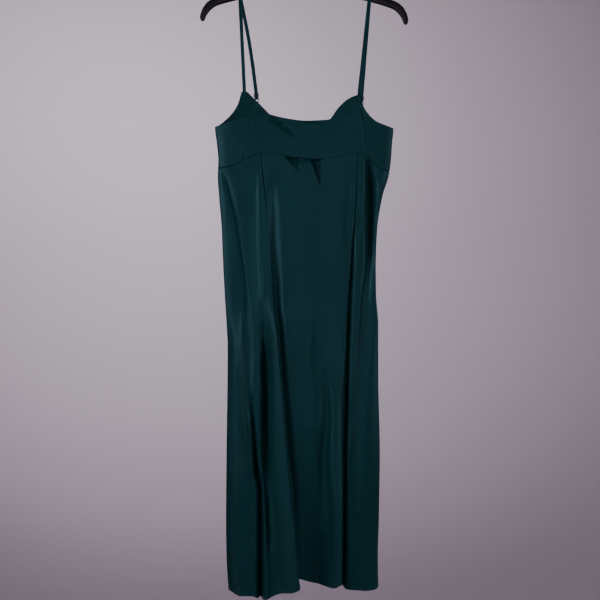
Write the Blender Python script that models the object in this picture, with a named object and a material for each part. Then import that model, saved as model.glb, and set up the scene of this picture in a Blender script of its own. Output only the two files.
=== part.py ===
"""A satin slip dress that hangs by its two straps on a plain hanger.

Metres, +Z up. The origin is the point inside the hook's bend where the rail touches it. The back of the
dress faces -Y and the front faces +Y. A "drop" is a distance below the origin, so z = -drop.

The dress is a flattened tube. At each drop its section is a back and a front face that meet at the two
side seams, and each face carries its folds. A fold is a row in a table: the line it follows down the
cloth, its height along that line, and how wide it is on either side. Every cloth piece is a patch of
that tube, bounded by seam lines and edges, with a wall of even thickness.
"""

import math
from collections import namedtuple

import bmesh
import bpy
import numpy as np
from mathutils import Matrix, Vector

# ---------------------------------------------------------------- driving sizes

CLOTH = 0.0015
SEAM_GAP = 0.0003
BACK = -1
FRONT = 1
# Folds fade out towards the side seams, and are whole where the sine of the turn is above this.
FOLDS_CLEAR_OF_SIDE = 0.45
# The side seams lie this far behind the hanger's plane, so the back hangs flatter than the front.
SIDE_SEAMS_BACK = 0.012

STRAP_WIDTH = 0.0074
STRAP_THICKNESS = 0.0011
STRAP_PLAY = 0.0003
STRAP_X_ON_ARM = 0.134
STRAP_BOW = 0.003
STRAP_ENDS = {
    "left": {"arm": -STRAP_X_ON_ARM, "back": (-0.0986, 0.3450), "front": (-0.1276, 0.3050)},
    "right": {"arm": STRAP_X_ON_ARM, "back": (0.1120, 0.3500), "front": (0.1120, 0.3120)},
}

RING_WIDTH = 0.0112
RING_HEIGHT = 0.0078
RING_WIRE = 0.0013
RING_CORNER = 0.0022
RING_TO_CLOTH = 0.0086
RING_STANDS_IN = 0.0008
SLIDER_WIDTH = 0.0114
SLIDER_HEIGHT = 0.0088
SLIDER_WIRE = 0.0012
SLIDER_CORNER = 0.0010
SLIDER_BAR = 0.97
SLIDER_TO_RING = 0.0104
SLIDER_STANDS_IN = 0.0010
# The ring and the slider step sideways, away from the arm's tip, by this share of their rise.
FITTINGS_LEAN = 0.10
WEAVE_LEAD = 0.0040
WEAVE_LEAD_IN = 0.0004

ARM_THICKNESS = 0.009
ARM_TILT = math.radians(1.0)
ARM_PLACES = (0.0, 0.012, 0.030, 0.060, 0.095, 0.160, 0.182, 0.1885, 0.1945, 0.1995, 0.2035)
NOTCH_DEPTH = 0.0025
NOTCH_REACH = 0.0062
NOTCH_WALL = 0.0015
NOTCH_LEVEL_REACH = 0.020
SOCKET_RADIUS = 0.0065
SOCKET_FLARE = 1.25
SOCKET_TOP = -0.0590
HOOK_WIRE = 0.0035
HOOK_INNER_RADIUS = 0.018
HOOK_BEND = (math.radians(-50), math.radians(196))
HOOK_SHANK = ((0.0000, -0.0530), (0.0004, -0.0478), (0.0028, -0.0424), (0.0072, -0.0378))

# ---------------------------------------------------------------- tables

# One row for each height at which the tube's section is known: where its side seams are, and how far its
# back and front faces stand from the plane through the side seams, before any fold.
Section = namedtuple("Section", "drop left right back_depth front_depth")
SECTIONS = (
    Section(0.300, -0.1860, 0.1810, 0.030, 0.037),
    Section(0.387, -0.1858, 0.1805, 0.033, 0.041),
    Section(0.420, -0.1820, 0.1775, 0.034, 0.042),
    Section(0.455, -0.1788, 0.1750, 0.034, 0.041),
    Section(0.488, -0.1800, 0.1700, 0.032, 0.0405),
    Section(0.527, -0.1775, 0.1580, 0.030, 0.0380),
    Section(0.595, -0.1720, 0.1470, 0.028, 0.0360),
    Section(0.669, -0.1690, 0.1440, 0.027, 0.0335),
    Section(0.727, -0.1660, 0.1445, 0.027, 0.0330),
    Section(0.793, -0.1618, 0.1490, 0.029, 0.0345),
    Section(0.834, -0.1598, 0.1490, 0.030, 0.035),
    Section(0.902, -0.1600, 0.1490, 0.032, 0.036),
    Section(1.050, -0.1620, 0.1520, 0.035, 0.039),
    Section(1.195, -0.1630, 0.1500, 0.037, 0.041),
    Section(1.263, -0.1620, 0.1480, 0.038, 0.041),
    Section(1.345, -0.1575, 0.1490, 0.039, 0.042),
)

# A fold follows its stations, each (drop, x, height). A positive height stands out from the cloth and a
# negative one sinks in. The fold fades over left_width and right_width to either side of its line, and
# lean pushes its crest sideways by that share of its height, so that a leaning crest rolls over.
Fold = namedtuple("Fold", "name left_width right_width lean stations")

BACK_FOLDS = (
    Fold("side crease", 0.006, 0.006, 0.0, (
        (0.470, -0.172, 0.0), (0.520, -0.156, -0.003), (0.583, -0.1415, -0.003), (0.660, -0.1305, -0.003),
        (0.741, -0.1218, -0.004), (0.822, -0.1152, -0.003), (0.930, -0.110, 0.0))),
    Fold("left ridge", 0.010, 0.010, 0.0, (
        (0.760, -0.132, 0.0), (0.833, -0.1330, 0.003), (0.944, -0.1300, 0.006), (1.025, -0.1212, 0.007),
        (1.120, -0.118, 0.004), (1.220, -0.114, 0.0))),
    Fold("left low valley", 0.005, 0.005, 0.0, (
        (0.940, -0.1110, 0.0), (0.984, -0.1067, -0.005), (1.025, -0.1037, -0.009), (1.066, -0.1012, -0.013),
        (1.096, -0.0984, -0.016), (1.126, -0.0930, -0.019), (1.217, -0.0918, -0.020), (1.345, -0.0922, -0.021))),
    Fold("narrow ridge", 0.005, 0.006, 0.0, (
        (0.880, -0.112, 0.0), (0.944, -0.1060, 0.002), (1.025, -0.1000, 0.004), (1.066, -0.0965, 0.005),
        (1.096, -0.0900, 0.004), (1.187, -0.0845, 0.002), (1.270, -0.0800, 0.004), (1.345, -0.0770, 0.004))),
    Fold("left deep valley", 0.0055, 0.0100, 0.0, (
        (0.730, -0.0890, 0.0), (0.782, -0.0872, -0.005), (0.822, -0.0860, -0.010), (0.863, -0.0856, -0.015),
        (0.944, -0.0842, -0.019), (0.984, -0.0842, -0.020), (1.025, -0.0828, -0.018), (1.066, -0.0825, -0.016),
        (1.096, -0.0800, -0.011), (1.160, -0.0780, -0.006), (1.220, -0.0760, -0.004), (1.300, -0.0740, 0.0))),
    Fold("main roll", 0.020, 0.006, 0.60, (
        (0.470, -0.083, 0.0), (0.560, -0.0810, 0.003), (0.660, -0.0770, 0.006), (0.741, -0.0735, 0.009),
        (0.822, -0.0657, 0.012), (0.954, -0.0552, 0.013), (1.045, -0.0486, 0.0135), (1.132, -0.0434, 0.010),
        (1.213, -0.0410, 0.005), (1.290, -0.0350, 0.0))),
    Fold("low part of the main roll", 0.020, 0.010, 0.60, (
        (0.990, -0.0520, 0.0), (1.045, -0.0486, 0.001), (1.132, -0.0434, 0.009), (1.213, -0.0410, 0.024),
        (1.345, -0.0300, 0.036))),
    Fold("valley behind the roll", 0.004, 0.0110, 0.0, (
        (0.470, -0.0690, 0.0), (0.560, -0.0660, -0.004), (0.660, -0.0625, -0.0055), (0.741, -0.0600, -0.007),
        (0.822, -0.0545, -0.008), (0.903, -0.0500, -0.007), (0.984, -0.0430, -0.006), (1.066, -0.0360, -0.006),
        (1.126, -0.0295, -0.006), (1.217, -0.0230, -0.006), (1.345, -0.0090, -0.005))),
    Fold("centre valley", 0.014, 0.007, 0.0, (
        (0.830, 0.0260, 0.0), (0.863, 0.0260, -0.003), (0.903, 0.0360, -0.006), (0.944, 0.0410, -0.009),
        (0.984, 0.0420, -0.011), (1.025, 0.0390, -0.012), (1.066, 0.0370, -0.012), (1.126, 0.0400, -0.010),
        (1.187, 0.0430, -0.008), (1.345, 0.0430, -0.006))),
    Fold("centre hollow", 0.036, 0.018, 0.0, (
        (1.000, 0.0200, 0.0), (1.066, 0.0240, -0.005), (1.126, 0.0260, -0.010), (1.187, 0.0260, -0.016),
        (1.248, 0.0240, -0.020), (1.345, 0.0220, -0.022))),
    Fold("right roll", 0.030, 0.007, 0.45, (
        (0.800, 0.072, 0.0), (0.887, 0.0690, 0.004), (0.944, 0.0680, 0.006), (1.025, 0.0675, 0.008),
        (1.096, 0.0670, 0.010), (1.160, 0.0660, 0.013), (1.345, 0.0645, 0.014))),
    Fold("right deep valley", 0.0038, 0.0052, 0.0, (
        (0.560, 0.1010, 0.0), (0.620, 0.0970, -0.004), (0.664, 0.0950, -0.006), (0.741, 0.0895, -0.008),
        (0.822, 0.0862, -0.010), (0.903, 0.0830, -0.011), (0.984, 0.0805, -0.009), (1.066, 0.0765, -0.007),
        (1.126, 0.0765, -0.010), (1.217, 0.0765, -0.013), (1.278, 0.0755, -0.014), (1.345, 0.0740, -0.014))),
    Fold("right seam valley", 0.0075, 0.0130, 0.0, (
        (0.449, 0.124, 0.0), (0.482, 0.1292, -0.009), (0.502, 0.1308, -0.015), (0.530, 0.1312, -0.017),
        (0.583, 0.1320, -0.017), (0.620, 0.1320, -0.015), (0.660, 0.1308, -0.012), (0.701, 0.1270, -0.010),
        (0.741, 0.1218, -0.008), (0.822, 0.1172, -0.007), (0.903, 0.1112, -0.005), (0.984, 0.1040, -0.004),
        (1.066, 0.0965, -0.005), (1.096, 0.0945, -0.004), (1.140, 0.0945, 0.0))),
    Fold("right side roll", 0.004, 0.006, 0.0, (
        (0.490, 0.158, 0.0), (0.520, 0.1530, 0.003), (0.548, 0.1475, 0.002), (0.575, 0.1430, 0.0))),
    Fold("right low ridge", 0.004, 0.005, 0.0, (
        (0.984, 0.0935, 0.0), (1.025, 0.0900, 0.003), (1.066, 0.0870, 0.005), (1.096, 0.0865, 0.005),
        (1.140, 0.0870, 0.002), (1.180, 0.0870, 0.0))),
)

FRONT_FOLDS = (
    Fold("left side ridge", 0.014, 0.014, 0.0, (
        (0.760, -0.122, 0.0), (0.950, -0.120, 0.005), (1.345, -0.116, 0.009))),
    Fold("left valley", 0.014, 0.016, 0.0, (
        (0.620, -0.100, 0.0), (0.760, -0.096, -0.007), (0.950, -0.092, -0.012), (1.345, -0.088, -0.017))),
    Fold("left roll", 0.022, 0.020, -0.45, (
        (0.560, -0.066, 0.0), (0.740, -0.060, 0.008), (0.980, -0.050, 0.015), (1.345, -0.040, 0.020))),
    Fold("middle valley", 0.016, 0.018, 0.0, (
        (0.660, -0.020, 0.0), (0.850, -0.014, -0.008), (1.100, -0.008, -0.013), (1.345, -0.004, -0.017))),
    Fold("middle roll", 0.020, 0.024, 0.35, (
        (0.600, 0.026, 0.0), (0.820, 0.030, 0.009), (1.080, 0.034, 0.014), (1.345, 0.036, 0.019))),
    Fold("right valley", 0.014, 0.014, 0.0, (
        (0.580, 0.094, 0.0), (0.780, 0.088, -0.009), (1.000, 0.084, -0.014), (1.345, 0.080, -0.018))),
    Fold("right ridge", 0.012, 0.014, 0.0, (
        (0.820, 0.110, 0.0), (0.960, 0.112, 0.005), (1.345, 0.114, 0.008))),
)
FOLDS = {BACK: BACK_FOLDS, FRONT: FRONT_FOLDS}

# Edges and seams that run across the dress, each as (x, drop).
BACK_TOP = (
    (-0.1858, 0.3870), (-0.1546, 0.3780), (-0.1234, 0.3680), (-0.1071, 0.3565), (-0.1022, 0.3458),
    (-0.0986, 0.3450), (-0.0950, 0.3458), (-0.0880, 0.3555), (-0.0744, 0.3635), (-0.0365, 0.3730),
    (0.0000, 0.3775), (0.0392, 0.3760), (0.0661, 0.3690), (0.0823, 0.3630), (0.0960, 0.3605),
    (0.1084, 0.3508), (0.1120, 0.3500), (0.1156, 0.3508), (0.1243, 0.3650), (0.1477, 0.3790),
    (0.1805, 0.3905),
)
FRONT_TOP = (
    (-0.1858, 0.3870), (-0.1675, 0.3700), (-0.1535, 0.3540), (-0.1405, 0.3320), (-0.1318, 0.3060),
    (-0.1276, 0.3050), (-0.1232, 0.3062), (-0.1102, 0.3176), (-0.0789, 0.3475), (-0.0040, 0.4210),
    (0.0535, 0.3590), (0.0697, 0.3371), (0.0904, 0.3195), (0.1080, 0.3128), (0.1120, 0.3120),
    (0.1165, 0.3135), (0.1196, 0.3320), (0.1295, 0.3505), (0.1422, 0.3650), (0.1590, 0.3785),
    (0.1805, 0.3905),
)
BACK_BAND_SEAM = (
    (-0.1800, 0.4730), (-0.1565, 0.4690), (-0.1397, 0.4642), (-0.1299, 0.4573), (-0.1124, 0.4495),
    (-0.1014, 0.4446), (-0.0880, 0.4426), (-0.0527, 0.4458), (-0.0150, 0.4527), (0.0283, 0.4547),
    (0.0661, 0.4512), (0.0823, 0.4472), (0.0959, 0.4425), (0.1176, 0.4445), (0.1325, 0.4593),
    (0.1565, 0.4746), (0.1740, 0.4785),
)
FRONT_BAND_SEAM = (
    (-0.1800, 0.4730), (-0.0900, 0.4620), (0.0000, 0.4580), (0.0900, 0.4640), (0.1740, 0.4785),
)
BACK_HEM = (
    (-0.1580, 1.3370), (-0.1510, 1.3430), (-0.1390, 1.3440), (-0.1150, 1.3425), (-0.1050, 1.3430),
    (-0.0970, 1.3485), (-0.0910, 1.3505), (-0.0850, 1.3495), (-0.0790, 1.3473), (-0.0610, 1.3375),
    (-0.0430, 1.3275), (-0.0310, 1.3170), (-0.0150, 1.3095), (-0.0010, 1.3135), (0.0170, 1.3190),
    (0.0450, 1.3242), (0.0550, 1.3215), (0.0660, 1.3145), (0.0710, 1.3190), (0.0770, 1.3265),
    (0.0950, 1.3300), (0.1280, 1.3336), (0.1430, 1.3322), (0.1490, 1.3290),
)
FRONT_HEM = (
    (-0.1580, 1.3370), (-0.1000, 1.3260), (-0.0540, 1.3350), (-0.0180, 1.3240), (0.0480, 1.3330),
    (0.0760, 1.3230), (0.1490, 1.3290),
)

# Lines that the columns of cloth follow down the dress, each as (drop, x). The shaped seams of the back
# band are two of them.
BACK_SEAM_LEFT = (
    (0.345, -0.0986), (0.361, -0.1027), (0.376, -0.1122), (0.4085, -0.1204), (0.4355, -0.1256),
    (0.457, -0.1297), (0.560, -0.1380), (0.800, -0.1330), (0.954, -0.1297), (1.060, -0.1200),
    (1.345, -0.1180),
)
BACK_SEAM_RIGHT = (
    (0.350, 0.1120), (0.372, 0.1161), (0.403, 0.1215), (0.433, 0.1256), (0.460, 0.1323), (0.583, 0.1323),
    (0.660, 0.1290), (0.770, 0.1205), (0.970, 0.1080), (1.345, 0.1120),
)
LOW_VALLEY_LINE = (
    (0.345, -0.088), (0.450, -0.112), (0.800, -0.112), (1.025, -0.1041), (1.132, -0.096), (1.345, -0.0946))
DEEP_VALLEY_LINE = ((0.345, -0.076), (0.450, -0.092), (0.806, -0.0851), (1.045, -0.0744), (1.345, -0.068))
MAIN_ROLL_LINE = (
    (0.345, -0.060), (0.450, -0.077), (0.711, -0.0730), (0.954, -0.0595), (1.132, -0.0490), (1.345, -0.030))
BEHIND_ROLL_LINE = (
    (0.345, -0.044), (0.450, -0.060), (0.711, -0.0560), (0.954, -0.0410), (1.132, -0.0300), (1.345, -0.012))
CENTRE_LINE = ((0.345, 0.012), (0.450, 0.014), (0.880, 0.018), (1.345, 0.026))
RIGHT_ROLL_LINE = ((0.345, 0.074), (0.450, 0.084), (0.887, 0.0650), (1.345, 0.0610))
RIGHT_VALLEY_LINE = (
    (0.345, 0.089), (0.450, 0.101), (0.664, 0.0932), (0.887, 0.0857), (1.130, 0.0796), (1.345, 0.0785))

FRONT_PEAK_LEFT = ((0.305, -0.1276), (0.460, -0.1250), (0.800, -0.1000), (1.345, -0.0900))
FRONT_ROLL_LINE = ((0.305, -0.0750), (0.460, -0.0720), (0.800, -0.0580), (1.345, -0.0400))
FRONT_MIDDLE = ((0.305, -0.0040), (0.460, -0.0040), (0.800, -0.0140), (1.345, -0.0040))
FRONT_RIDGE_LINE = ((0.305, 0.0500), (0.460, 0.0480), (0.800, 0.0320), (1.345, 0.0360))
FRONT_PEAK_RIGHT = ((0.305, 0.1120), (0.460, 0.1060), (0.800, 0.0880), (1.345, 0.0800))

# The columns of cloth between one line and the next. A side seam has no line of its own, and ease
# crowds the columns towards it.
Span = namedtuple("Span", "columns start end ease")
SIDE = None
EVEN = 1.0
CROWDED = 0.72
BACK_LEFT_SPANS = (Span(8, SIDE, BACK_SEAM_LEFT, CROWDED),)
BACK_MIDDLE_SPANS = (
    Span(4, BACK_SEAM_LEFT, LOW_VALLEY_LINE, EVEN),
    Span(4, LOW_VALLEY_LINE, DEEP_VALLEY_LINE, EVEN),
    Span(6, DEEP_VALLEY_LINE, MAIN_ROLL_LINE, EVEN),
    Span(4, MAIN_ROLL_LINE, BEHIND_ROLL_LINE, EVEN),
    Span(7, BEHIND_ROLL_LINE, CENTRE_LINE, EVEN),
    Span(6, CENTRE_LINE, RIGHT_ROLL_LINE, EVEN),
    Span(4, RIGHT_ROLL_LINE, RIGHT_VALLEY_LINE, EVEN),
    Span(5, RIGHT_VALLEY_LINE, BACK_SEAM_RIGHT, EVEN),
)
BACK_RIGHT_SPANS = (Span(7, BACK_SEAM_RIGHT, SIDE, CROWDED),)
FRONT_SPANS = (
    Span(7, SIDE, FRONT_PEAK_LEFT, CROWDED),
    Span(5, FRONT_PEAK_LEFT, FRONT_ROLL_LINE, EVEN),
    Span(6, FRONT_ROLL_LINE, FRONT_MIDDLE, EVEN),
    Span(6, FRONT_MIDDLE, FRONT_RIDGE_LINE, EVEN),
    Span(6, FRONT_RIDGE_LINE, FRONT_PEAK_RIGHT, EVEN),
    Span(7, FRONT_PEAK_RIGHT, SIDE, CROWDED),
)

BAND_ROWS = 5
FRONT_BODICE_ROWS = 6
BACK_SKIRT_ROWS = 22
FRONT_SKIRT_ROWS = 18
EDGE_ROUNDS = 60

# The hanger's arm from its middle outwards, before it tilts: half its height about its middle line.
ArmStation = namedtuple("ArmStation", "x z half_height")
ARM = (
    ArmStation(0.0000, -0.0800, 0.0105),
    ArmStation(0.0120, -0.0832, 0.0100),
    ArmStation(0.0300, -0.0882, 0.0085),
    ArmStation(0.0700, -0.0991, 0.0083),
    ArmStation(0.1050, -0.1088, 0.0083),
    ArmStation(0.1820, -0.1295, 0.0085),
    ArmStation(0.1933, -0.1360, 0.0085),
    ArmStation(0.2025, -0.1465, 0.0076),
    ArmStation(0.2075, -0.1565, 0.0065),
    ArmStation(0.2092, -0.1635, 0.0060),
    ArmStation(0.2093, -0.1665, 0.0050),
    ArmStation(0.2094, -0.1690, 0.0028),
)

# ---------------------------------------------------------------- curves


def smooth_curve(knots, values, at):
    """A smooth curve through a few values. It never swings past them and is level beyond its ends."""
    knots = np.asarray(knots, float)
    values = np.asarray(values, float)
    at = np.clip(at, knots[0], knots[-1])
    steps = np.diff(knots)
    rises = np.diff(values) / steps
    slopes = np.concatenate([rises[:1], np.zeros(len(knots) - 2), rises[-1:]])
    for i in range(1, len(knots) - 1):
        if rises[i - 1] * rises[i] > 0:
            slopes[i] = 2 * rises[i - 1] * rises[i] / (rises[i - 1] + rises[i])
    i = np.clip(np.searchsorted(knots, at, side="right") - 1, 0, len(steps) - 1)
    t = (at - knots[i]) / steps[i]
    return (
        (1 + 2 * t) * (1 - t) ** 2 * values[i]
        + t * (1 - t) ** 2 * steps[i] * slopes[i]
        + t**2 * (3 - 2 * t) * values[i + 1]
        + t**2 * (t - 1) * steps[i] * slopes[i + 1]
    )


def along(points, at):
    """The second value of each pair in points, as a smooth curve over the first."""
    first, second = zip(*points)
    return smooth_curve(first, second, at)


def ease_in(value):
    value = np.clip(value, 0, 1)
    return value * value * (3 - 2 * value)


# ---------------------------------------------------------------- the cloth's surface


def section(face, drop):
    """The middle and the half width between the side seams, and the depth of one face."""
    drops = [row.drop for row in SECTIONS]
    left = smooth_curve(drops, [row.left for row in SECTIONS], drop)
    right = smooth_curve(drops, [row.right for row in SECTIONS], drop)
    depths = [row.back_depth if face == BACK else row.front_depth for row in SECTIONS]
    return (left + right) / 2, (right - left) / 2, smooth_curve(drops, depths, drop)


def fold_shift(face, x, drop):
    """How far the folds push the cloth sideways and outwards."""
    sideways = np.zeros_like(x)
    outwards = np.zeros_like(x)
    for fold in FOLDS[face]:
        drops, lines, heights = zip(*fold.stations)
        offset = x - smooth_curve(drops, lines, drop)
        width = np.where(offset < 0, fold.left_width, fold.right_width)
        lift = smooth_curve(drops, heights, drop) * np.exp(-((offset / width) ** 2))
        outwards += lift
        sideways += fold.lean * lift
    return sideways, outwards


def cloth_point(face, turn, drop):
    """A point of the cloth. turn goes from 0 at the left side seam to pi at the right one."""
    middle, half, depth = section(face, drop)
    x = middle - half * np.cos(turn)
    sideways, outwards = fold_shift(face, x, drop)
    reach = ease_in(np.sin(turn) / FOLDS_CLEAR_OF_SIDE)
    y = face * ((depth + face * SIDE_SEAMS_BACK) * np.sin(turn) + reach * outwards) - SIDE_SEAMS_BACK
    return np.stack([x + reach * sideways, y, -drop], axis=-1)


def cloth_normal(face, turn, drop):
    """The outward direction of the cloth at a point."""
    step = 1e-4
    across = cloth_point(face, turn + step, drop) - cloth_point(face, turn - step, drop)
    down = cloth_point(face, turn, drop + step) - cloth_point(face, turn, drop - step)
    normal = face * np.cross(across, down)
    return normal / np.linalg.norm(normal, axis=-1, keepdims=True)


def turn_at(face, x, drop):
    middle, half, _ = section(face, drop)
    return np.arccos(np.clip((middle - x) / half, -1, 1))


def x_at(face, turn, drop):
    middle, half, _ = section(face, drop)
    return middle - half * np.cos(turn)


def line_turn(face, line, drop, left_end, gap):
    """The turn of a column line, or of a side seam. gap keeps a piece's edge off the seam it is sewn at."""
    if line is SIDE:
        _, _, depth = section(face, drop)
        clear = SEAM_GAP / 2 / (depth + face * SIDE_SEAMS_BACK)
        return clear if left_end else math.pi - clear
    return turn_at(face, along(line, drop) + gap, drop)


def column_turns(face, spans, drops):
    """The turn of each column at its own drop. The first and last columns stand half a seam gap in."""
    turns = []
    for place, span in enumerate(spans):
        first = place == 0
        last = place == len(spans) - 1
        for step in range(span.columns + (1 if last else 0)):
            drop = drops[len(turns)]
            start_gap = SEAM_GAP / 2 if first and step == 0 else 0
            end_gap = -SEAM_GAP / 2 if last and step == span.columns else 0
            start = line_turn(face, span.start, drop, True, start_gap)
            end = line_turn(face, span.end, drop, False, end_gap)
            share = step / span.columns
            if span.end is SIDE:
                share = 1 - (1 - share) ** span.ease
            else:
                share = share**span.ease
            turns.append(start + (end - start) * share)
    return np.array(turns)


def edge_drops(face, spans, edge, gap):
    """The drop at which each column meets an edge that is given across the dress, found in rounds."""
    count = sum(span.columns for span in spans) + 1
    drops = np.full(count, np.mean([drop for _, drop in edge]))
    for _ in range(EDGE_ROUNDS):
        met = along(edge, x_at(face, column_turns(face, spans, drops), drops))
        drops = (drops + met) / 2
    return drops + gap


# ---------------------------------------------------------------- building


def make_object(name, points, faces, material):
    mesh = bpy.data.meshes.new(name)
    mesh.from_pydata([tuple(point) for point in points], [], faces)
    mesh.update()
    mesh.shade_smooth()
    mesh.set_sharp_from_angle(angle=math.radians(35))
    mesh.materials.append(material)
    obj = bpy.data.objects.new(name, mesh)
    bpy.context.collection.objects.link(obj)
    return obj


def cloth_piece(name, face, spans, top, bottom, rows, material, top_gap=0.0, bottom_gap=0.0):
    """One sewn piece: the patch between two edges, as a wall with an outer and an inner skin."""
    tops = edge_drops(face, spans, top, top_gap)
    bottoms = edge_drops(face, spans, bottom, -bottom_gap)
    shares = np.linspace(0, 1, rows + 1)[:, None]
    drops = tops + (bottoms - tops) * shares
    turns = np.array([column_turns(face, spans, row) for row in drops])
    middle = cloth_point(face, turns, drops)
    half_wall = cloth_normal(face, turns, drops) * CLOTH / 2
    outer = (middle + half_wall).reshape(-1, 3)
    inner = (middle - half_wall).reshape(-1, 3)
    columns = turns.shape[1]
    under = len(outer)
    faces = []
    for row in range(rows):
        for column in range(columns - 1):
            a = row * columns + column
            b, c, d = a + 1, a + 1 + columns, a + columns
            faces.append((a, d, c, b))
            faces.append((a + under, b + under, c + under, d + under))
    rim = list(range(columns))
    rim += [row * columns + columns - 1 for row in range(1, rows + 1)]
    rim += [rows * columns + column for column in range(columns - 2, -1, -1)]
    rim += [row * columns for row in range(rows - 1, 0, -1)]
    for a, b in zip(rim, rim[1:] + rim[:1]):
        faces.append((a, b, b + under, a + under))
    if face == FRONT:
        faces = [tuple(reversed(corners)) for corners in faces]
    return make_object(name, np.concatenate([outer, inner]), faces, material)


def sweep(name, rings, material, loop=False):
    """A solid through a row of rings with equal counts of points, closed on itself or capped."""
    rings = np.asarray(rings, float)
    count, sides, _ = rings.shape
    faces = []
    for i in range(count if loop else count - 1):
        for j in range(sides):
            a = i * sides + j
            b = i * sides + (j + 1) % sides
            c = (i + 1) % count * sides + (j + 1) % sides
            d = (i + 1) % count * sides + j
            faces.append((a, b, c, d))
    if not loop:
        faces.append(tuple(reversed(range(sides))))
        faces.append(tuple((count - 1) * sides + j for j in range(sides)))
    obj = make_object(name, rings.reshape(-1, 3), faces, material)
    face_outwards(obj)
    return obj


def face_outwards(obj):
    shape = bmesh.new()
    shape.from_mesh(obj.data)
    bmesh.ops.recalc_face_normals(shape, faces=shape.faces)
    shape.to_mesh(obj.data)
    shape.free()


def directions(path):
    tangents = np.gradient(path, axis=0)
    return tangents / np.linalg.norm(tangents, axis=1, keepdims=True)


def ribbon_rings(path, thickness):
    """Rings of a flat band that keeps its width as near to X as its path allows."""
    tangents = directions(path)
    widths = np.array([1.0, 0, 0]) - tangents * tangents[:, :1]
    widths /= np.linalg.norm(widths, axis=1, keepdims=True)
    across = widths * STRAP_WIDTH / 2
    through = np.cross(tangents, widths) * thickness / 2
    return np.stack([path - across - through, path + across - through, path + across + through,
                     path - across + through], axis=1)


def wire_rings(path, radius, sides, loop=False):
    """Rings of a round wire that lies in a plane of constant y."""
    path = np.asarray(path, float)
    if loop:
        tangents = np.roll(path, -1, axis=0) - np.roll(path, 1, axis=0)
        tangents /= np.linalg.norm(tangents, axis=1, keepdims=True)
    else:
        tangents = directions(path)
    beside = np.cross(tangents, [0, 1.0, 0])
    angles = np.arange(sides) * 2 * math.pi / sides
    return np.array([
        [point + radius * (math.cos(angle) * side + math.sin(angle) * np.array([0, 1.0, 0]))
         for angle in angles]
        for point, side in zip(path, beside)
    ])


def join_solid(obj, other):
    """Fuses a second solid into the first with a Boolean, and removes the second."""
    fuse = obj.modifiers.new("fuse", "BOOLEAN")
    fuse.operation = "UNION"
    fuse.object = other
    graph = bpy.context.evaluated_depsgraph_get()
    fused = bpy.data.meshes.new_from_object(obj.evaluated_get(graph))
    obj.modifiers.clear()
    obj.data = fused
    bpy.data.objects.remove(other)


# ---------------------------------------------------------------- materials


def make_material(name, colour, roughness, metallic=0.0):
    material = bpy.data.materials.new(name)
    material.use_nodes = True
    shader = material.node_tree.nodes["Principled BSDF"]
    shader.inputs["Base Color"].default_value = (*colour, 1.0)
    shader.inputs["Roughness"].default_value = roughness
    shader.inputs["Metallic"].default_value = metallic
    material.diffuse_color = (*colour, 1.0)
    return material


# ---------------------------------------------------------------- the dress


def build_dress(satin):
    """The six cloth panels. Pieces that are sewn together share one set of columns at their seam."""
    half_gap = SEAM_GAP / 2
    band = dict(rows=BAND_ROWS, material=satin, bottom_gap=half_gap)
    cloth_piece("back_side_left", BACK, BACK_LEFT_SPANS, BACK_TOP, BACK_BAND_SEAM, **band)
    cloth_piece("back_band", BACK, BACK_MIDDLE_SPANS, BACK_TOP, BACK_BAND_SEAM, **band)
    cloth_piece("back_side_right", BACK, BACK_RIGHT_SPANS, BACK_TOP, BACK_BAND_SEAM, **band)
    back_spans = BACK_LEFT_SPANS + BACK_MIDDLE_SPANS + BACK_RIGHT_SPANS
    cloth_piece("back_skirt", BACK, back_spans, BACK_BAND_SEAM, BACK_HEM,
                rows=BACK_SKIRT_ROWS, material=satin, top_gap=half_gap)
    cloth_piece("front_bodice", FRONT, FRONT_SPANS, FRONT_TOP, FRONT_BAND_SEAM,
                rows=FRONT_BODICE_ROWS, material=satin, bottom_gap=half_gap)
    cloth_piece("front_skirt", FRONT, FRONT_SPANS, FRONT_BAND_SEAM, FRONT_HEM,
                rows=FRONT_SKIRT_ROWS, material=satin, top_gap=half_gap)


# ---------------------------------------------------------------- the hanger


def arm_section(x):
    """The middle height and half height of the arm at a distance from the hanger's middle."""
    reach = abs(x)
    places = [row.x for row in ARM]
    return (smooth_curve(places, [row.z for row in ARM], reach),
            smooth_curve(places, [row.half_height for row in ARM], reach))


def notch_floor():
    z, half = arm_section(STRAP_X_ON_ARM)
    return float(z + half - NOTCH_DEPTH)


def arm_path():
    """Stations from the middle of the hanger to the tip, with close ones at the notch for the strap."""
    inner, outer = STRAP_X_ON_ARM - NOTCH_REACH, STRAP_X_ON_ARM + NOTCH_REACH
    notch = (inner - NOTCH_WALL, inner, outer, outer + NOTCH_WALL)
    stations = [(x, *arm_section(x)) for x in sorted(ARM_PLACES + notch)]
    stations += [(row.x, row.z, row.half_height) for row in ARM if row.x > ARM_PLACES[-1]]
    return stations


def arm_ring(x, z, half_height, lean, sides_per_round=5):
    """A flat-sided section with round top and bottom, square to the arm's middle line."""
    top = z + half_height
    if abs(abs(x) - STRAP_X_ON_ARM) <= NOTCH_REACH + 1e-6:
        top = notch_floor()
    bottom = z - half_height
    radius = min(ARM_THICKNESS / 2, (top - bottom) / 2)
    middle = Vector((x, 0, (top + bottom) / 2))
    straight = (top - bottom) / 2 - radius
    points = []
    for half_turn, lift in ((0, straight), (1, -straight)):
        for step in range(sides_per_round):
            angle = math.pi * (half_turn + step / (sides_per_round - 1))
            points.append(Vector((0, radius * math.cos(angle), lift + radius * math.sin(angle))))
    tilt = Matrix.Rotation(lean, 3, "Y")
    return [middle + tilt @ point for point in points]


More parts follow.
